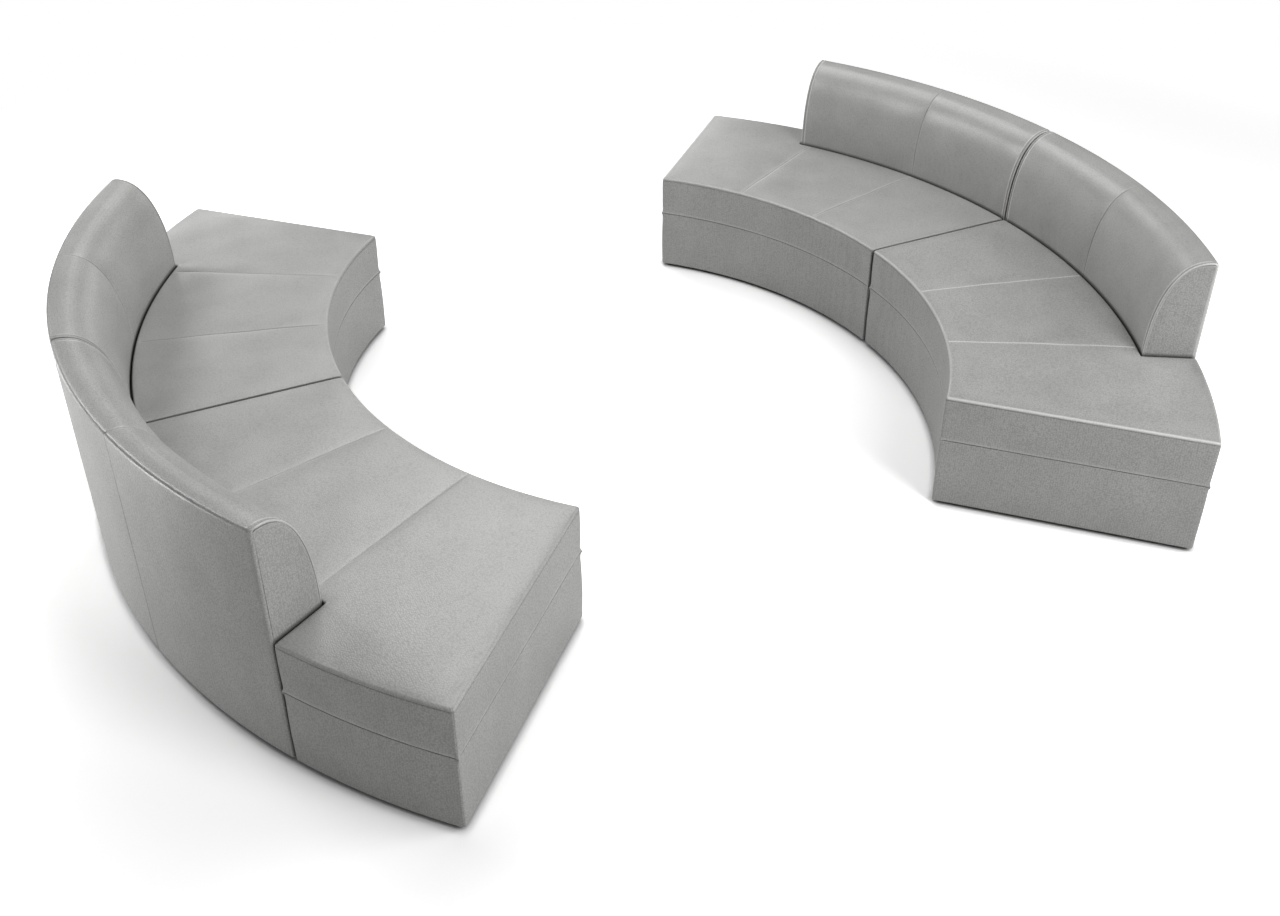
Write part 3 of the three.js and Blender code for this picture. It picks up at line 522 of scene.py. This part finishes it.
def makeBack(place, seed):
    rows, across = back["frontRows"], back["topRows"]
    middleRadius = outerRadius - plan["backDepth"] / 2
    # Columns by angle, close together by the ends and by the seam in the middle
    seam, end = plan["backSeam"], plan["backAngle"]
    parts = [turn * seamed(turn * middleRadius, back["columnOffsets"], back["columnPitch"])
             for turn in (seam, end - seam)]
    shares = join([parts[0], seam + parts[1][1:]])
    count = len(shares)
    fromEnd = np.minimum(shares * middleRadius, (end - shares) * middleRadius)
    fromSeam = np.abs(shares - seam) * middleRadius
    inset = rounding(fromEnd, back["endRadius"])
    inset += back["seamDepth"] * bell(fromSeam, back["seamWidth"])
    inset += back["endSeamDepth"] * bell(fromEnd - back["endSeamPlace"], back["endSeamWidth"])
    welt = sum(bell(fromEnd - at, back["weltWidth"]) for at in back["weltPlaces"])
    inset -= back["weltHeight"] * welt
    frontSide, topSide, outerSide, footLine = backSides(inset)
    # Round the loop: up the front, over the top, down the outside, back along the foot
    loop = join([frontSide[:-1], topSide[:-1], outerSide[::-1][:-1], footLine[::-1][:-1]])
    size = len(loop)
    gaps = np.linalg.norm(np.diff(loop[:, count // 2], axis=0, append=loop[:1, count // 2]), axis=1)
    loopRun = join([[0], np.cumsum(gaps)[:-1]])
    r, z = loop[..., 0], loop[..., 1]

    # Softness: the rolled front and the outside swell between the seam and the ends
    depthShare, middleHeight = back["swellCentre"]
    centre = outerRadius - plan["backDepth"] * depthShare
    outwards = stacked(r - centre, (z - middleHeight) * back["swellUpwards"])
    outwards /= np.linalg.norm(outwards, axis=-1, keepdims=True)
    panel = rise(fromEnd - back["endMargin"], back["seamReach"]) * rise(fromSeam, back["seamReach"])
    upper = ramp(z, heights["seat"], back["upperFade"])
    fromRim = np.hypot(outerRadius - r, heights["top"] - z)
    frontness = ramp(centre + back["frontReach"] - r, 0, back["frontFade"])
    push = back["crown"] * panel * upper * frontness
    waves = swell(shares * middleRadius, loopRun[:, None], back["softWavelength"], seed)
    slack = back["softness"] * panel * waves * ramp(z, *back["footRamp"])
    push += slack * rise(fromRim - back["rimHold"], back["rimReach"])
    run = np.broadcast_to(loopRun[:, None], r.shape)
    pastWelt = fromEnd - back["puckerStart"]
    push += back["pucker"] * puckers(run, fromSeam, seed + 1) * upper
    push += back["pucker"] * puckers(run, np.abs(pastWelt), seed + 2) * upper * (pastWelt > 0)
    r, z = r + outwards[..., 0] * push, z + outwards[..., 1] * push * upper

    # The outer corners are rounder than the welted ones
    outerness = ramp(r - outerRadius, *back["outerRamp"])
    r -= np.maximum(rounding(fromEnd, back["outerEndRadius"]) - inset, 0) * outerness

    # End planes stand parallel to their rays, so the angle depends on the radius near the ends
    startAngle = np.arcsin((plan["jointGap"] / 2 - back["jointBulge"]) / r)
    points = fromPolar(r, startAngle + (end - startAngle) * (shares / end), z)

    numbers = numbered(size, count)
    allPoints, allFaces = [points.reshape(-1, 3)], [gridFaces(wrapped(numbers, 0))]
    # The seam's line of painted shade is wider on the outside
    seamGap = fromSeam * (1 - back["outerSeamSpread"] * outerness) + back["seamSoftness"] * (1 - outerness)
    endGap = np.abs(fromEnd - back["endSeamPlace"]) + back["endSeamSoftness"]
    # Painted highlights in the colour: on the welts, beside the seam and along the rounded outer corners
    beside = back["seamShine"] * bell(fromSeam - back["shineFromSeam"], back["seamWidth"])
    shine = back["weltShine"][place] * welt + beside
    strip = back["cornerShine"][place] * bell(fromEnd, 0.8 * back["outerEndRadius"])
    paintedSheen = shine * (1 - outerness) + strip * outerness
    rollGrainAndShade = back["rollGrainAndShade"][place]
    grain = rollGrainAndShade + (1 - rollGrainAndShade) * outerness
    values = [[part.reshape(-1)] for part in (run, np.minimum(seamGap, endGap), paintedSheen, grain)]

    # End panels: a grid between the four sides, sum of both interpolations less the corners
    u = np.linspace(0, 1, across + 1)[None, :, None]
    v = np.linspace(0, 1, rows + 1)[:, None, None]
    belly = (np.sin(np.pi * u) * np.sin(np.pi * v)) ** 0.5
    fromOuter = ((1 - u) * plan["backDepth"] + 0 * v)[..., 0]
    # Painted highlight in a strip along the end panel's outer edge
    endStrip = back["cornerShine"][place] * bell(fromOuter, back["cornerStrip"])
    a, b, c = rows, rows + across, 2 * rows + across
    sides = [
        np.arange(a + 1), np.arange(a, b + 1), np.arange(b, c + 1)[::-1],
        join([[0], np.arange(c, size)[::-1]]),
    ]
    for column, step in ((0, 1), (count - 1, -1)):
        frontEdge, topEdge, outerEdge, footEdge = (points[side, column] for side in sides)
        patch = (1 - u) * frontEdge[:, None] + u * outerEdge[:, None]
        patch += (1 - v) * footEdge[None] + v * topEdge[None]
        patch = patch - (1 - u) * (1 - v) * frontEdge[0] - u * (1 - v) * outerEdge[0]
        patch = patch - (1 - u) * v * frontEdge[-1] - u * v * outerEdge[-1]
        normal = np.cross(outerEdge[0] - frontEdge[0], frontEdge[-1] - frontEdge[0])
        normal /= np.linalg.norm(normal)
        facing = -1 if (column == 0) == (normal[1] > 0) else 1
        patch += facing * normal * back["endCrown"] * belly
        grid = np.full((rows + 1, across + 1), -1)
        grid[:, 0], grid[-1, :], grid[:, -1], grid[0, :] = (numbers[side, column] for side in sides)
        free = grid < 0
        plain = np.ones(free.sum())
        grid[free] = sum(map(len, allPoints)) + np.arange(free.sum())
        allPoints.append(patch[free])
        allFaces.append(gridFaces(grid)[:, ::step])
        for parts, added in zip(values, (0 * plain, plain, endStrip[free], plain)):
            parts.append(added)
    points, faces = join(allPoints), join(allFaces)
    piece = makeCover("back_cover", "back_cushion", place, points, faces, values)
    return piece


covers = []
for number, place in enumerate(places):
    covers.append(makeSeat(place, 100 + 40 * number))
    covers.append(makeBase(place, 300 + 40 * number))
    covers.append(makeBack(place, 500 + 40 * number))
    print("upholstery made:", place)


# Shader expressions: a Wire holds a socket, and sums on wires add their Math nodes
class Wire:
    def __init__(self, tree, socket):
        self.tree, self.socket = tree, socket

    def math(self, operation, *others):
        return addNode(self.tree, "Math", {"operation": operation}, dict(enumerate((self, *others))))

    def __add__(self, other):
        return self.math("ADD", other)

    def __sub__(self, other):
        return self.math("SUBTRACT", other)

    def __rsub__(self, other):
        return addNode(self.tree, "Math", {"operation": "SUBTRACT"}, {0: other, 1: self})

    def __mul__(self, other):
        return self.math("MULTIPLY", other)

    def __truediv__(self, other):
        return self.math("DIVIDE", other)

    def __pow__(self, other):
        return self.math("POWER", other)

    __radd__, __rmul__ = __add__, __mul__


# Adds a node: settings first, then the values or wires of its inputs; returns one output
def addNode(tree, kind, settings=None, inputs=None, output=0):
    node = tree.nodes.new("ShaderNode" + kind)
    for key, value in (settings or {}).items():
        setattr(node, key, value)
    for key, value in (inputs or {}).items():
        if isinstance(value, Wire):
            tree.links.new(value.socket, node.inputs[key])
        else:
            node.inputs[key].default_value = value
    return Wire(tree, node.outputs[output]) if node.outputs else None


# A new material, its node tree, and the object's own coordinates in it
def newMaterial(name):
    material = bpy.data.materials.new(name)
    material.use_nodes = True
    tree = material.node_tree
    tree.nodes.clear()
    return material, tree, addNode(tree, "TexCoord", output="Object")


def noise(place, scale, inputs, output="Fac"):
    return addNode(place.tree, "TexNoise", {}, {"Vector": place, "Scale": scale, **inputs}, output)


# Colours go through a Mix node, whose colour sockets are inputs 6 and 7 and output 2
def mixColours(factor, first, second):
    return addNode(factor.tree, "Mix", {"data_type": "RGBA"}, {0: factor, 6: first, 7: second}, 2)


# Sum of wires, each times its number
def weighed(wires, shares):
    first, *others = (wire * share for wire, share in zip(wires, shares))
    return sum(others, first)


# The shader, with a bump from a height wire over a depth in metres
def finishMaterial(material, height, strength, depth, inputs):
    tree = material.node_tree
    bumped = addNode(tree, "Bump", {}, {"Strength": strength, "Distance": depth, "Height": height})
    shader = addNode(tree, "BsdfPrincipled", {}, {**inputs, "Normal": bumped})
    addNode(tree, "OutputMaterial", {}, {"Surface": shader})
    return material


# Pebbled leather: rounded cells over a looser tumble, with fine pores, and painted shading of the pebbles.
# Shade is painted into creases and gaps, and along the seams, where small stitches pull it in;
# painted highlights lighten the edges, the welts and the sides of seams.
leather = {
    "light": (0.540, 0.540, 0.527, 1),
    "dark": (0.345, 0.345, 0.336, 1),
    # Colour of the painted shade in creases, gaps and contact lines
    "shadow": (0.030, 0.030, 0.029, 1),
    # The seam colour is painted shade along the seam lines and on the walls inside the joints
    "shadeReach": 0.016, "seamShade": (0.16, 0.16, 0.156, 1),
    # Colour of the painted highlights on edges, welts and beside seams
    "stretched": (0.80, 0.80, 0.784, 1),
    "pebble": 5.6 * mm, "pebbleShift": (0.002, 0.002, 0.002), "pebbleShading": 1.6,
    "cloudTone": 0.7, "pore": 1.7 * mm, "tumble": 17 * mm, "cloud": 0.16,
    "roughness": 0.35, "specular": 0.9, "bumpStrength": 0.9, "bumpDepth": 0.65 * mm,
    "seamLine": 1.3 * mm, "stitchReach": 4.5 * mm, "stitchPitch": 5.5 * mm,
    "cellMiddle": 0.4, "warpScale": 110.0,
    "grainHeights": (-0.9, 0.3, 0.12),  # of cells, tumble and pores
    "leastHeight": 0.3,  # share of the height left where the pebbles are shallowest
    "seamHeights": (-0.5, 0.3),  # of line and stitches
    "seamTones": (0.45, 0.08),
    "paintedSheenTone": 0.62, "shadowPower": 1.7,
    "roughnessShares": (0.16, 0.12, -0.06),  # of cells, cloud and painted highlight
}


def makeLeather():
    material, tree, place = newMaterial("pebbled_leather")
    along, across, paintedSheen, depth = (
        addNode(tree, "Attribute", {"attribute_name": name}, output="Fac") for name in leatherValues
    )
    warp = noise(place, leather["warpScale"], {"Detail": 2.0}, "Color")
    moved = addNode(tree, "VectorMath", {"operation": "MULTIPLY_ADD"},
                    {0: warp, 1: leather["pebbleShift"], 2: place})
    cells = addNode(tree, "TexVoronoi", {},
                    {"Vector": moved, "Scale": 1 / leather["pebble"], "Randomness": 0.7})
    tumble = noise(place, 1 / leather["tumble"], {"Detail": 3.0, "Roughness": 0.6})
    pores = noise(place, 1 / leather["pore"], {"Detail": 1.0})
    cloud = noise(place, 1 / leather["cloud"], {"Detail": 4.0, "Roughness": 0.55})
    line, halo = (((across / leather[reach]) ** 2.0 * -1.0).math("EXPONENT")
                  for reach in ("seamLine", "stitchReach"))
    stitch = (along * (2 * math.pi / leather["stitchPitch"])).math("SINE") * halo
    grain = weighed((cells, tumble, pores), leather["grainHeights"])
    raised = cells - leather["cellMiddle"]
    # Random cloudy tone, plus painted shading of the pebbles: light centres and dark rims, scaled by the
    # grain value
    tone = (cloud - 0.5) * leather["cloudTone"] + raised * depth * -leather["pebbleShading"] + 0.5
    colour = mixColours(tone, leather["dark"], leather["light"])
    # Painted highlight mixed in along edges, welts and beside seams
    colour = mixColours(paintedSheen * leather["paintedSheenTone"], colour, leather["stretched"])
    # Painted shade along the seam lines and on the joint walls, with stitch marks
    colour = mixColours(weighed((line, stitch), leather["seamTones"]), colour, leather["seamShade"])
    # Painted shade: the colour darkens towards the shadow colour by ambient occlusion in creases, gaps and
    # contact lines
    openness = addNode(tree, "AmbientOcclusion", {"samples": 8}, {"Distance": leather["shadeReach"]}, "AO")
    colour = mixColours(openness ** leather["shadowPower"], leather["shadow"], colour)
    roughness = weighed((raised, cloud - 0.5, paintedSheen), leather["roughnessShares"]) + leather["roughness"]
    least = leather["leastHeight"]
    height = grain * (depth * (1 - least) + least) + weighed((line, stitch), leather["seamHeights"])
    look = {"Base Color": colour, "Roughness": roughness, "Specular IOR Level": leather["specular"]}
    return finishMaterial(material, height, leather["bumpStrength"], leather["bumpDepth"], look)


leatherMaterial = makeLeather()
for piece in covers:
    piece.data.materials.append(leatherMaterial)
print("leather applied to", len(covers), "covers")


# Plywood: thin plies seen on edge, under long streaks of grain
def makePlywood():
    material, tree, place = newMaterial("birch_plywood")
    stretched = addNode(tree, "VectorMath", {"operation": "MULTIPLY"}, {0: place, 1: (6.0, 60.0, 60.0)})
    grain = noise(stretched, 1.0, {"Detail": 6.0, "Distortion": 0.6})
    plies = addNode(tree, "TexWave", {"bands_direction": "Z"},
                    {"Vector": place, "Scale": 105.0, "Distortion": 0.4})
    colour = mixColours(grain * 0.8 + plies * 0.3 - 0.05, (0.42, 0.27, 0.14, 1), (0.70, 0.52, 0.32, 1))
    look = {"Base Color": colour, "Roughness": 0.55 + grain * 0.2}
    return finishMaterial(material, grain, 0.3, 0.6 * mm, look)


# Dust cloth: black non-woven fibres pressed with a grid of small diamonds
def makeDustCloth():
    material, tree, place = newMaterial("dust_cloth")
    fibres = noise(place, 900.0, {"Detail": 4.0, "Distortion": 1.5})
    turned = addNode(tree, "VectorRotate", {"rotation_type": "Z_AXIS"},
                     {"Vector": place, "Angle": math.pi / 4})
    dents = addNode(tree, "TexVoronoi", {"distance": "CHEBYCHEV"},
                    {"Vector": turned, "Scale": 420.0, "Randomness": 0.0})
    colour = mixColours(fibres, (0.010, 0.010, 0.011, 1), (0.035, 0.035, 0.037, 1))
    look = {"Base Color": colour, "Roughness": 0.85 + fibres * 0.12}
    return finishMaterial(material, fibres + dents, 0.6, 0.5 * mm, look)


# Moulded black plastic: a faint spark grain and small scuffs
def makePlastic():
    material, _, place = newMaterial("black_plastic")
    spark = noise(place, 2600.0, {"Detail": 2.0})
    scuffs = noise(place, 130.0, {"Detail": 5.0, "Roughness": 0.7})
    colour = mixColours(scuffs, (0.008, 0.008, 0.009, 1), (0.030, 0.030, 0.031, 1))
    look = {"Base Color": colour, "Roughness": 0.38 + scuffs * 0.25}
    return finishMaterial(material, spark, 0.3, 0.2 * mm, look)


# Zinc-plated steel: brushed one way, with a patchy passivated tint
def makeSteel():
    material, tree, place = newMaterial("zinc_plated_steel")
    brushed = addNode(tree, "VectorMath", {"operation": "MULTIPLY"}, {0: place, 1: (2600.0, 160.0, 900.0)})
    streaks = noise(brushed, 1.0, {"Detail": 3.0})
    patches = noise(place, 60.0, {"Detail": 3.0})
    colour = mixColours(patches, (0.48, 0.49, 0.51, 1), (0.66, 0.66, 0.64, 1))
    look = {"Base Color": colour, "Metallic": 1.0, "Roughness": 0.24 + streaks * 0.18 + patches * 0.08}
    return finishMaterial(material, streaks, 0.25, 0.2 * mm, look)


plywood, dustCloth, plastic, steel = makePlywood(), makeDustCloth(), makePlastic(), makeSteel()


def dress(node, material):
    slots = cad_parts[node].data.materials
    for k in range(len(slots)):
        slots[k] = material
    if not slots:
        slots.append(material)


for place in places:
    for board in ("seat_deck", "base_frame", "back_frame"):
        dress(f"{board}_{place}", plywood)
    dress(f"dust_cover_{place}", dustCloth)


# A closed turned piece about a vertical axis: a profile of (radius, height) from axis to axis,
# whose points a function of radius, height and angle moves, for threads and recesses
def turnPiece(name, profile, centre, segments, vary):
    around = np.linspace(0, 2 * np.pi, segments, endpoint=False)
    inner = np.repeat(profile[1:-1, None], segments, 1)
    radius, z = vary(inner[..., 0], inner[..., 1], around[None])
    points = stacked(centre[0] + radius * np.cos(around), centre[1] + radius * np.sin(around), z)
    poles = np.array([[*centre, profile[0, 1]], [*centre, profile[-1, 1]]])
    points = join([points.reshape(-1, 3), poles])
    numbers = wrapped(numbered(*radius.shape))
    low, high = len(points) - 2, len(points) - 1
    first = stacked(low, numbers[0, 1:], numbers[0, :-1])
    last = stacked(high, numbers[-1, :-1], numbers[-1, 1:])
    quads = gridFaces(numbers)[:, ::-1]
    return makePiece(name, points, quads.tolist() + first.tolist() + last.tolist())


# Gives a small part its finish and sets it on its body in place of its solid
def fitPiece(piece, material, body, node):
    piece.data.materials.append(material)
    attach(piece, body)
    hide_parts(node)


# Levelling glide: a moulded foot with a rolled rim and a domed top, on a threaded stem
glide = {
    "inset": 50 * mm, "radius": 20 * mm, "rim": 4.5 * mm, "roll": 1.6 * mm,
    "hubRadius": 11 * mm, "hubTop": 10.1 * mm,
    "stemRadius": 4.75 * mm, "stemTop": 52.9 * mm,
    "threadPitch": 1.75 * mm, "threadDepth": 0.45 * mm, "segments": 48,
}


def makeGlide(name, centre):
    radius, rim, roll, hub, hubTop = (glide[key] for key in ("radius", "rim", "roll", "hubRadius", "hubTop"))
    stem, stemTop = glide["stemRadius"], glide["stemTop"]
    turn = np.radians(np.linspace(-90, 70, 9))
    lip = stacked(radius - roll + roll * np.cos(turn), roll * (1 + np.sin(turn)))
    slope = np.linspace(0, 1, 12)[1:]
    start = lip[-1]
    dome = stacked(
        start[0] + (hub - start[0]) * slope,
        start[1] + (rim + (hubTop - rim) * slope**0.8 - start[1]) * np.minimum(1, slope * 3),
    )
    dome[:, 1] = np.minimum(dome[:, 1], hubTop)
    threadRows = np.arange(hubTop + 0.2 * mm, stemTop, glide["threadPitch"] / 5)
    profile = join([
        [[0, 0], [radius * 0.5, 0]],
        lip,
        dome,
        [[hub - 1 * mm, hubTop], [stem + 0.4 * mm, hubTop]],
        stacked(stem, threadRows),
        [[stem * 0.8, stemTop], [0, stemTop]],
    ])

    # Thread: the radius dips by a cosine of height over pitch less the turn, so it winds upwards
    def thread(radii, z, around):
        wave = 0.5 - 0.5 * np.cos(2 * np.pi * z / glide["threadPitch"] - around)
        onStem = (z > hubTop + 0.1 * mm) & (radii >= stem * 0.99)
        return radii - glide["threadDepth"] * wave * onStem, z

    return turnPiece(name, profile, centre, glide["segments"], thread)


# Gang screw: a pan head with a cross recess, on a shank
screw = {
    "inset": 55 * mm, "shares": {"inner": 0.22, "outer": 0.78},
    "headRadius": 8 * mm, "headTop": 6.5 * mm, "headHeight": 2.6 * mm,
    "faceShare": 0.72, "faceRise": 0.12,  # of the head's radius and height
    "sideDrop": 0.69, "shankRadius": 3 * mm, "shankTop": 45.3 * mm,
    "crossWidth": 0.9 * mm, "crossLength": 4.4 * mm, "crossDepth": 1.5 * mm,
    "segments": 64,
}


def makeScrew(name, centre):
    top, height, radius = screw["headTop"], screw["headHeight"], screw["headRadius"]
    share, rise = screw["faceShare"], screw["faceRise"] * height
    face = np.linspace(0, share, 22)
    low = top - height
    domed = stacked(face * radius, low + rise * face**2)
    turn = np.linspace(0, 1, 9)[1:]
    side = stacked(
        radius * (share + (1 - share) * np.sin(turn * np.pi / 2)),
        low + rise * share**2 + screw["sideDrop"] * height * (1 - np.cos(turn * np.pi / 2)),
    )
    profile = join([
        domed,
        side,
        [[radius, top - 0.1 * mm], [radius - 0.2 * mm, top], [screw["shankRadius"], top]],
        stacked(screw["shankRadius"], np.linspace(top, screw["shankTop"], 13)[1:]),
        [[0, screw["shankTop"]]],
    ])

    # Recess: deepest in the middle, where either coordinate is within the cross's half width
    def recess(radii, z, around):
        x, y = np.abs(radii * np.cos(around)), np.abs(radii * np.sin(around))
        arm = np.minimum(x, y) / screw["crossWidth"]
        reach = np.maximum(x, y) / screw["crossLength"]
        depth = np.clip((1.25 - arm) * 3, 0, 1) * np.clip((1 - reach) * 4, 0, 1)
        return radii, z + screw["crossDepth"] * depth * (z < low + 0.2 * height)

    return turnPiece(name, profile, centre, screw["segments"], recess)


# Gang hook: a flat plate with softened edges, pivot hole at one end and hooked slot at the other.
# The slot follows the arc that the other module's screw takes about the pivot.
gangHook = {
    "width": 30 * mm, "bottom": 6.8 * mm, "thickness": 3 * mm, "edge": 0.45 * mm,
    "bore": 3.4 * mm, "slotHalf": 3.8 * mm, "mouthAngle": math.radians(32),
}


def arcPoints(centre, radius, start, end, count):
    turn = np.linspace(start, end, count)
    return stacked(centre[0] + radius * np.cos(turn), centre[1] + radius * np.sin(turn))


def makeHook(name, pivot, side):
    reach, half, slot = 2 * screw["inset"], gangHook["width"] / 2, gangHook["slotHalf"]
    down, mouth = -math.pi / 2, -math.pi / 2 - gangHook["mouthAngle"]
    outerArc = arcPoints((0, 0), reach + slot, mouth, down, 24)
    innerArc = arcPoints((0, 0), reach - slot, down, mouth, 24)
    # The slot leaves the plate's side where its arcs meet x = -half
    outerArc = outerArc[outerArc[:, 0] > -half]
    innerArc = innerArc[innerArc[:, 0] > -half]
    outerExit = [[-half, -math.sqrt((reach + slot) ** 2 - half**2)]]
    innerExit = [[-half, -math.sqrt((reach - slot) ** 2 - half**2)]]
    foot = arcPoints((0, -reach), half, 0, -math.pi, 40)
    foot = foot[~((foot[:, 0] < -half * 0.999) & (foot[:, 1] > outerExit[0][1]))]
    outline = join([
        arcPoints((0, 0), half, math.pi, 0, 40),
        foot,
        outerExit,
        outerArc,
        arcPoints((0, -reach), slot, down, -down, 16)[1:-1],
        innerArc,
        innerExit,
    ])
    curve = bpy.data.curves.new(name, "CURVE")
    curve.dimensions, curve.fill_mode = "2D", "BOTH"
    curve.extrude = gangHook["thickness"] / 2 - gangHook["edge"]
    curve.bevel_depth, curve.bevel_resolution = gangHook["edge"], 2
    curve.offset = -gangHook["edge"]
    for loop in (outline, arcPoints((0, 0), gangHook["bore"], 0, 2 * math.pi, 33)[:-1]):
        line = curve.splines.new("POLY")
        line.points.add(len(loop) - 1)
        flat = np.zeros((len(loop), 4))
        flat[:, 0], flat[:, 1], flat[:, 3] = side * loop[:, 0], loop[:, 1], 1
        line.points.foreach_set("co", flat.reshape(-1))
        line.use_cyclic_u = True
    drawn = addObject(name + "_outline", curve)
    mesh = bpy.data.meshes.new_from_object(drawn.evaluated_get(bpy.context.evaluated_depsgraph_get()))
    bpy.data.objects.remove(drawn)
    bpy.data.curves.remove(curve)
    points = np.empty(len(mesh.vertices) * 3)
    mesh.vertices.foreach_get("co", points)
    middle = gangHook["bottom"] + gangHook["thickness"] / 2
    mesh.vertices.foreach_set("co", (points.reshape(-1, 3) + [*pivot, middle]).reshape(-1))
    return addObject(name, mesh)


# Places of the glides: inset from the box's four corners along radius and from its planes
def glidePlace(corner):
    ring, end = corner.split("_")
    inset = glide["inset"]
    radius = innerRadius + inset if ring == "inner" else outerRadius - inset
    angle = math.asin((plan["jointGap"] / 2 + inset) / radius)
    if end == "end":
        angle = plan["moduleAngle"] - math.asin(inset / radius)
    return fromPolar(radius, angle, 0.0)


for place in places:
    for corner in corners:
        node = f"glide_{place}_{corner}"
        foot = makeGlide(f"levelling_foot_{place}_{corner}", toFrame(glidePlace(corner), place)[:2])
        fitPiece(foot, plastic, node, node)
for side, sideName in ((1, "right"), (-1, "left")):
    for which, share in screw["shares"].items():
        radius = innerRadius + share * (notchRadius - innerRadius)
        x = side * (radius - plan["centreOffset"])
        node = f"gang_hook_{sideName}_{which}"
        hook = makeHook(f"hook_plate_{sideName}_{which}", (x, screw["inset"]), side)
        fitPiece(hook, steel, node, node)
        for role, y in (("pivot", screw["inset"]), ("catch", -screw["inset"])):
            piece = makeScrew(f"screw_{role}_{sideName}_{which}", (x, y))
            fitPiece(piece, steel, sofaBody, f"hook_{role}_{sideName}_{which}")
print("feet, hooks and screws made")


# Direction of an azimuth and elevation in degrees
def towards(azimuth, elevation):
    a, e = math.radians(azimuth), math.radians(elevation)
    return Vector((math.cos(e) * math.cos(a), math.cos(e) * math.sin(a), math.sin(e)))


# A camera or lamp that looks back along the direction it lies in
def aim(name, data, location, outwards):
    thing = addObject(name, data)
    thing.location = location
    thing.rotation_mode = "QUATERNION"
    thing.rotation_quaternion = (-outwards).to_track_quat("-Z", "Y")
    return thing


# Camera at the photograph's viewing angle
camera = {
    "eye": (-1.973, -4.057, 2.911),
    "azimuth": -116.43, "elevation": 31.62,  # of the eye from what it looks at
    "lens": 36.93, "sensor": 36.0, "shift": -0.0625,
}


def makeCamera():
    data = bpy.data.cameras.new("camera")
    data.lens, data.sensor_width, data.shift_y = camera["lens"], camera["sensor"], camera["shift"]
    data.clip_start, data.clip_end = 0.05, 100
    scene.camera = aim("camera", data, camera["eye"], towards(camera["azimuth"], camera["elevation"]))


# Soft boxes aimed at the sofa: azimuth and elevation in degrees from its middle, distance and size
# in metres, and power in watts
lamps = {
    "back_top": (80, 66, 6.5, (3.6, 3.0), 62),
    "front_top": (295, 66, 6.5, (3.0, 3.0), 26),
    "back_high": (76, 45, 6.5, (3.0, 2.0), 84),
    "back_left": (138, 36, 6.5, (2.0, 1.4), 118),
    "back_low": (100, 10, 6.5, (2.3, 2.1), 28),
    "back_right_low": (65, 10, 6.5, (2.3, 2.1), 28),
    "right_back": (40, 28, 6.5, (2.1, 2.0), 10),
    "right_front": (322, 28, 6.5, (2.6, 2.0), 98),
    "front": (287, 28, 6.5, (2.1, 2.0), 102),
    "left_front": (225, 18, 6.5, (2.1, 2.0), 20),
    "front_high": (288, 46, 6.5, (2.1, 2.0), 62),
    "left_low": (150, 0, 3.8, (1.0, 0.4), 12),
    "left_low_near": (179, 0, 3.6, (0.8, 0.4), 15),
}
target = Vector((0, 0, 0.3))
room = {
    "ambient": 0.03, "floor": 0.70, "floorSeen": 1.60, "half": 30.0,
    "contactReach": 0.03, "fadeStart": 3.1, "fadeLength": 2.2,
}


def makeLamps():
    for name, (azimuth, elevation, distance, size, power) in lamps.items():
        data = bpy.data.lights.new(name, "AREA")
        data.shape, data.energy = "RECTANGLE", power
        data.size, data.size_y = size
        outwards = towards(azimuth, elevation)
        aim(name, data, target + distance * outwards, outwards).visible_camera = False


# White to the eye, almost dark as light
def makeWorld():
    world = bpy.data.worlds.new("studio")
    world.use_nodes = True
    tree = world.node_tree
    tree.nodes.clear()
    seen = addNode(tree, "LightPath", output="Is Camera Ray")
    strength = seen * (1.0 - room["ambient"]) + room["ambient"]
    glow = addNode(tree, "Background", {}, {"Color": (1, 1, 1, 1), "Strength": strength})
    addNode(tree, "OutputWorld", {}, {"Surface": glow})
    scene.world = world


# A plain pale floor. To the eye it is lit just past white near the sofa, so that only the shadow shows on it,
# darkened further by painted contact shade from ambient occlusion, and fades into plain white further out.
def makeFloor():
    half = room["half"]
    corner = np.array([[-half, -half, 0], [half, -half, 0], [half, half, 0], [-half, half, 0]])
    floor = makePiece("floor", corner, np.array([[0, 1, 2, 3]]), smooth=False)
    material, tree, place = newMaterial("pale_floor")
    seen = addNode(tree, "LightPath", output="Is Camera Ray")
    away = addNode(tree, "VectorMath", {"operation": "LENGTH"}, {0: place}, "Value")
    fade = ((away - room["fadeStart"]) / room["fadeLength"]).math("MAXIMUM", 0.0).math("MINIMUM", 1.0)
    plain, bright = ((room[key],) * 3 + (1,) for key in ("floor", "floorSeen"))
    # Painted contact shade: the floor's colour to the eye darkens by ambient occlusion close to the sofa
    contactShade = addNode(tree, "AmbientOcclusion", {"samples": 8},
                      {"Color": bright, "Distance": room["contactReach"]}, "Color")
    matt = addNode(tree, "BsdfDiffuse", {}, {"Color": mixColours(seen, plain, contactShade)})
    glow = addNode(tree, "Emission", {}, {"Color": (1, 1, 1, 1), "Strength": 1.0})
    mixed = addNode(tree, "MixShader", {}, {0: seen * fade, 1: matt, 2: glow})
    addNode(tree, "OutputMaterial", {}, {"Surface": mixed})
    floor.data.materials.append(material)


makeCamera()
makeLamps()
makeWorld()
makeFloor()
scene.view_settings.view_transform = "Standard"
print("camera, lamps and floor made")
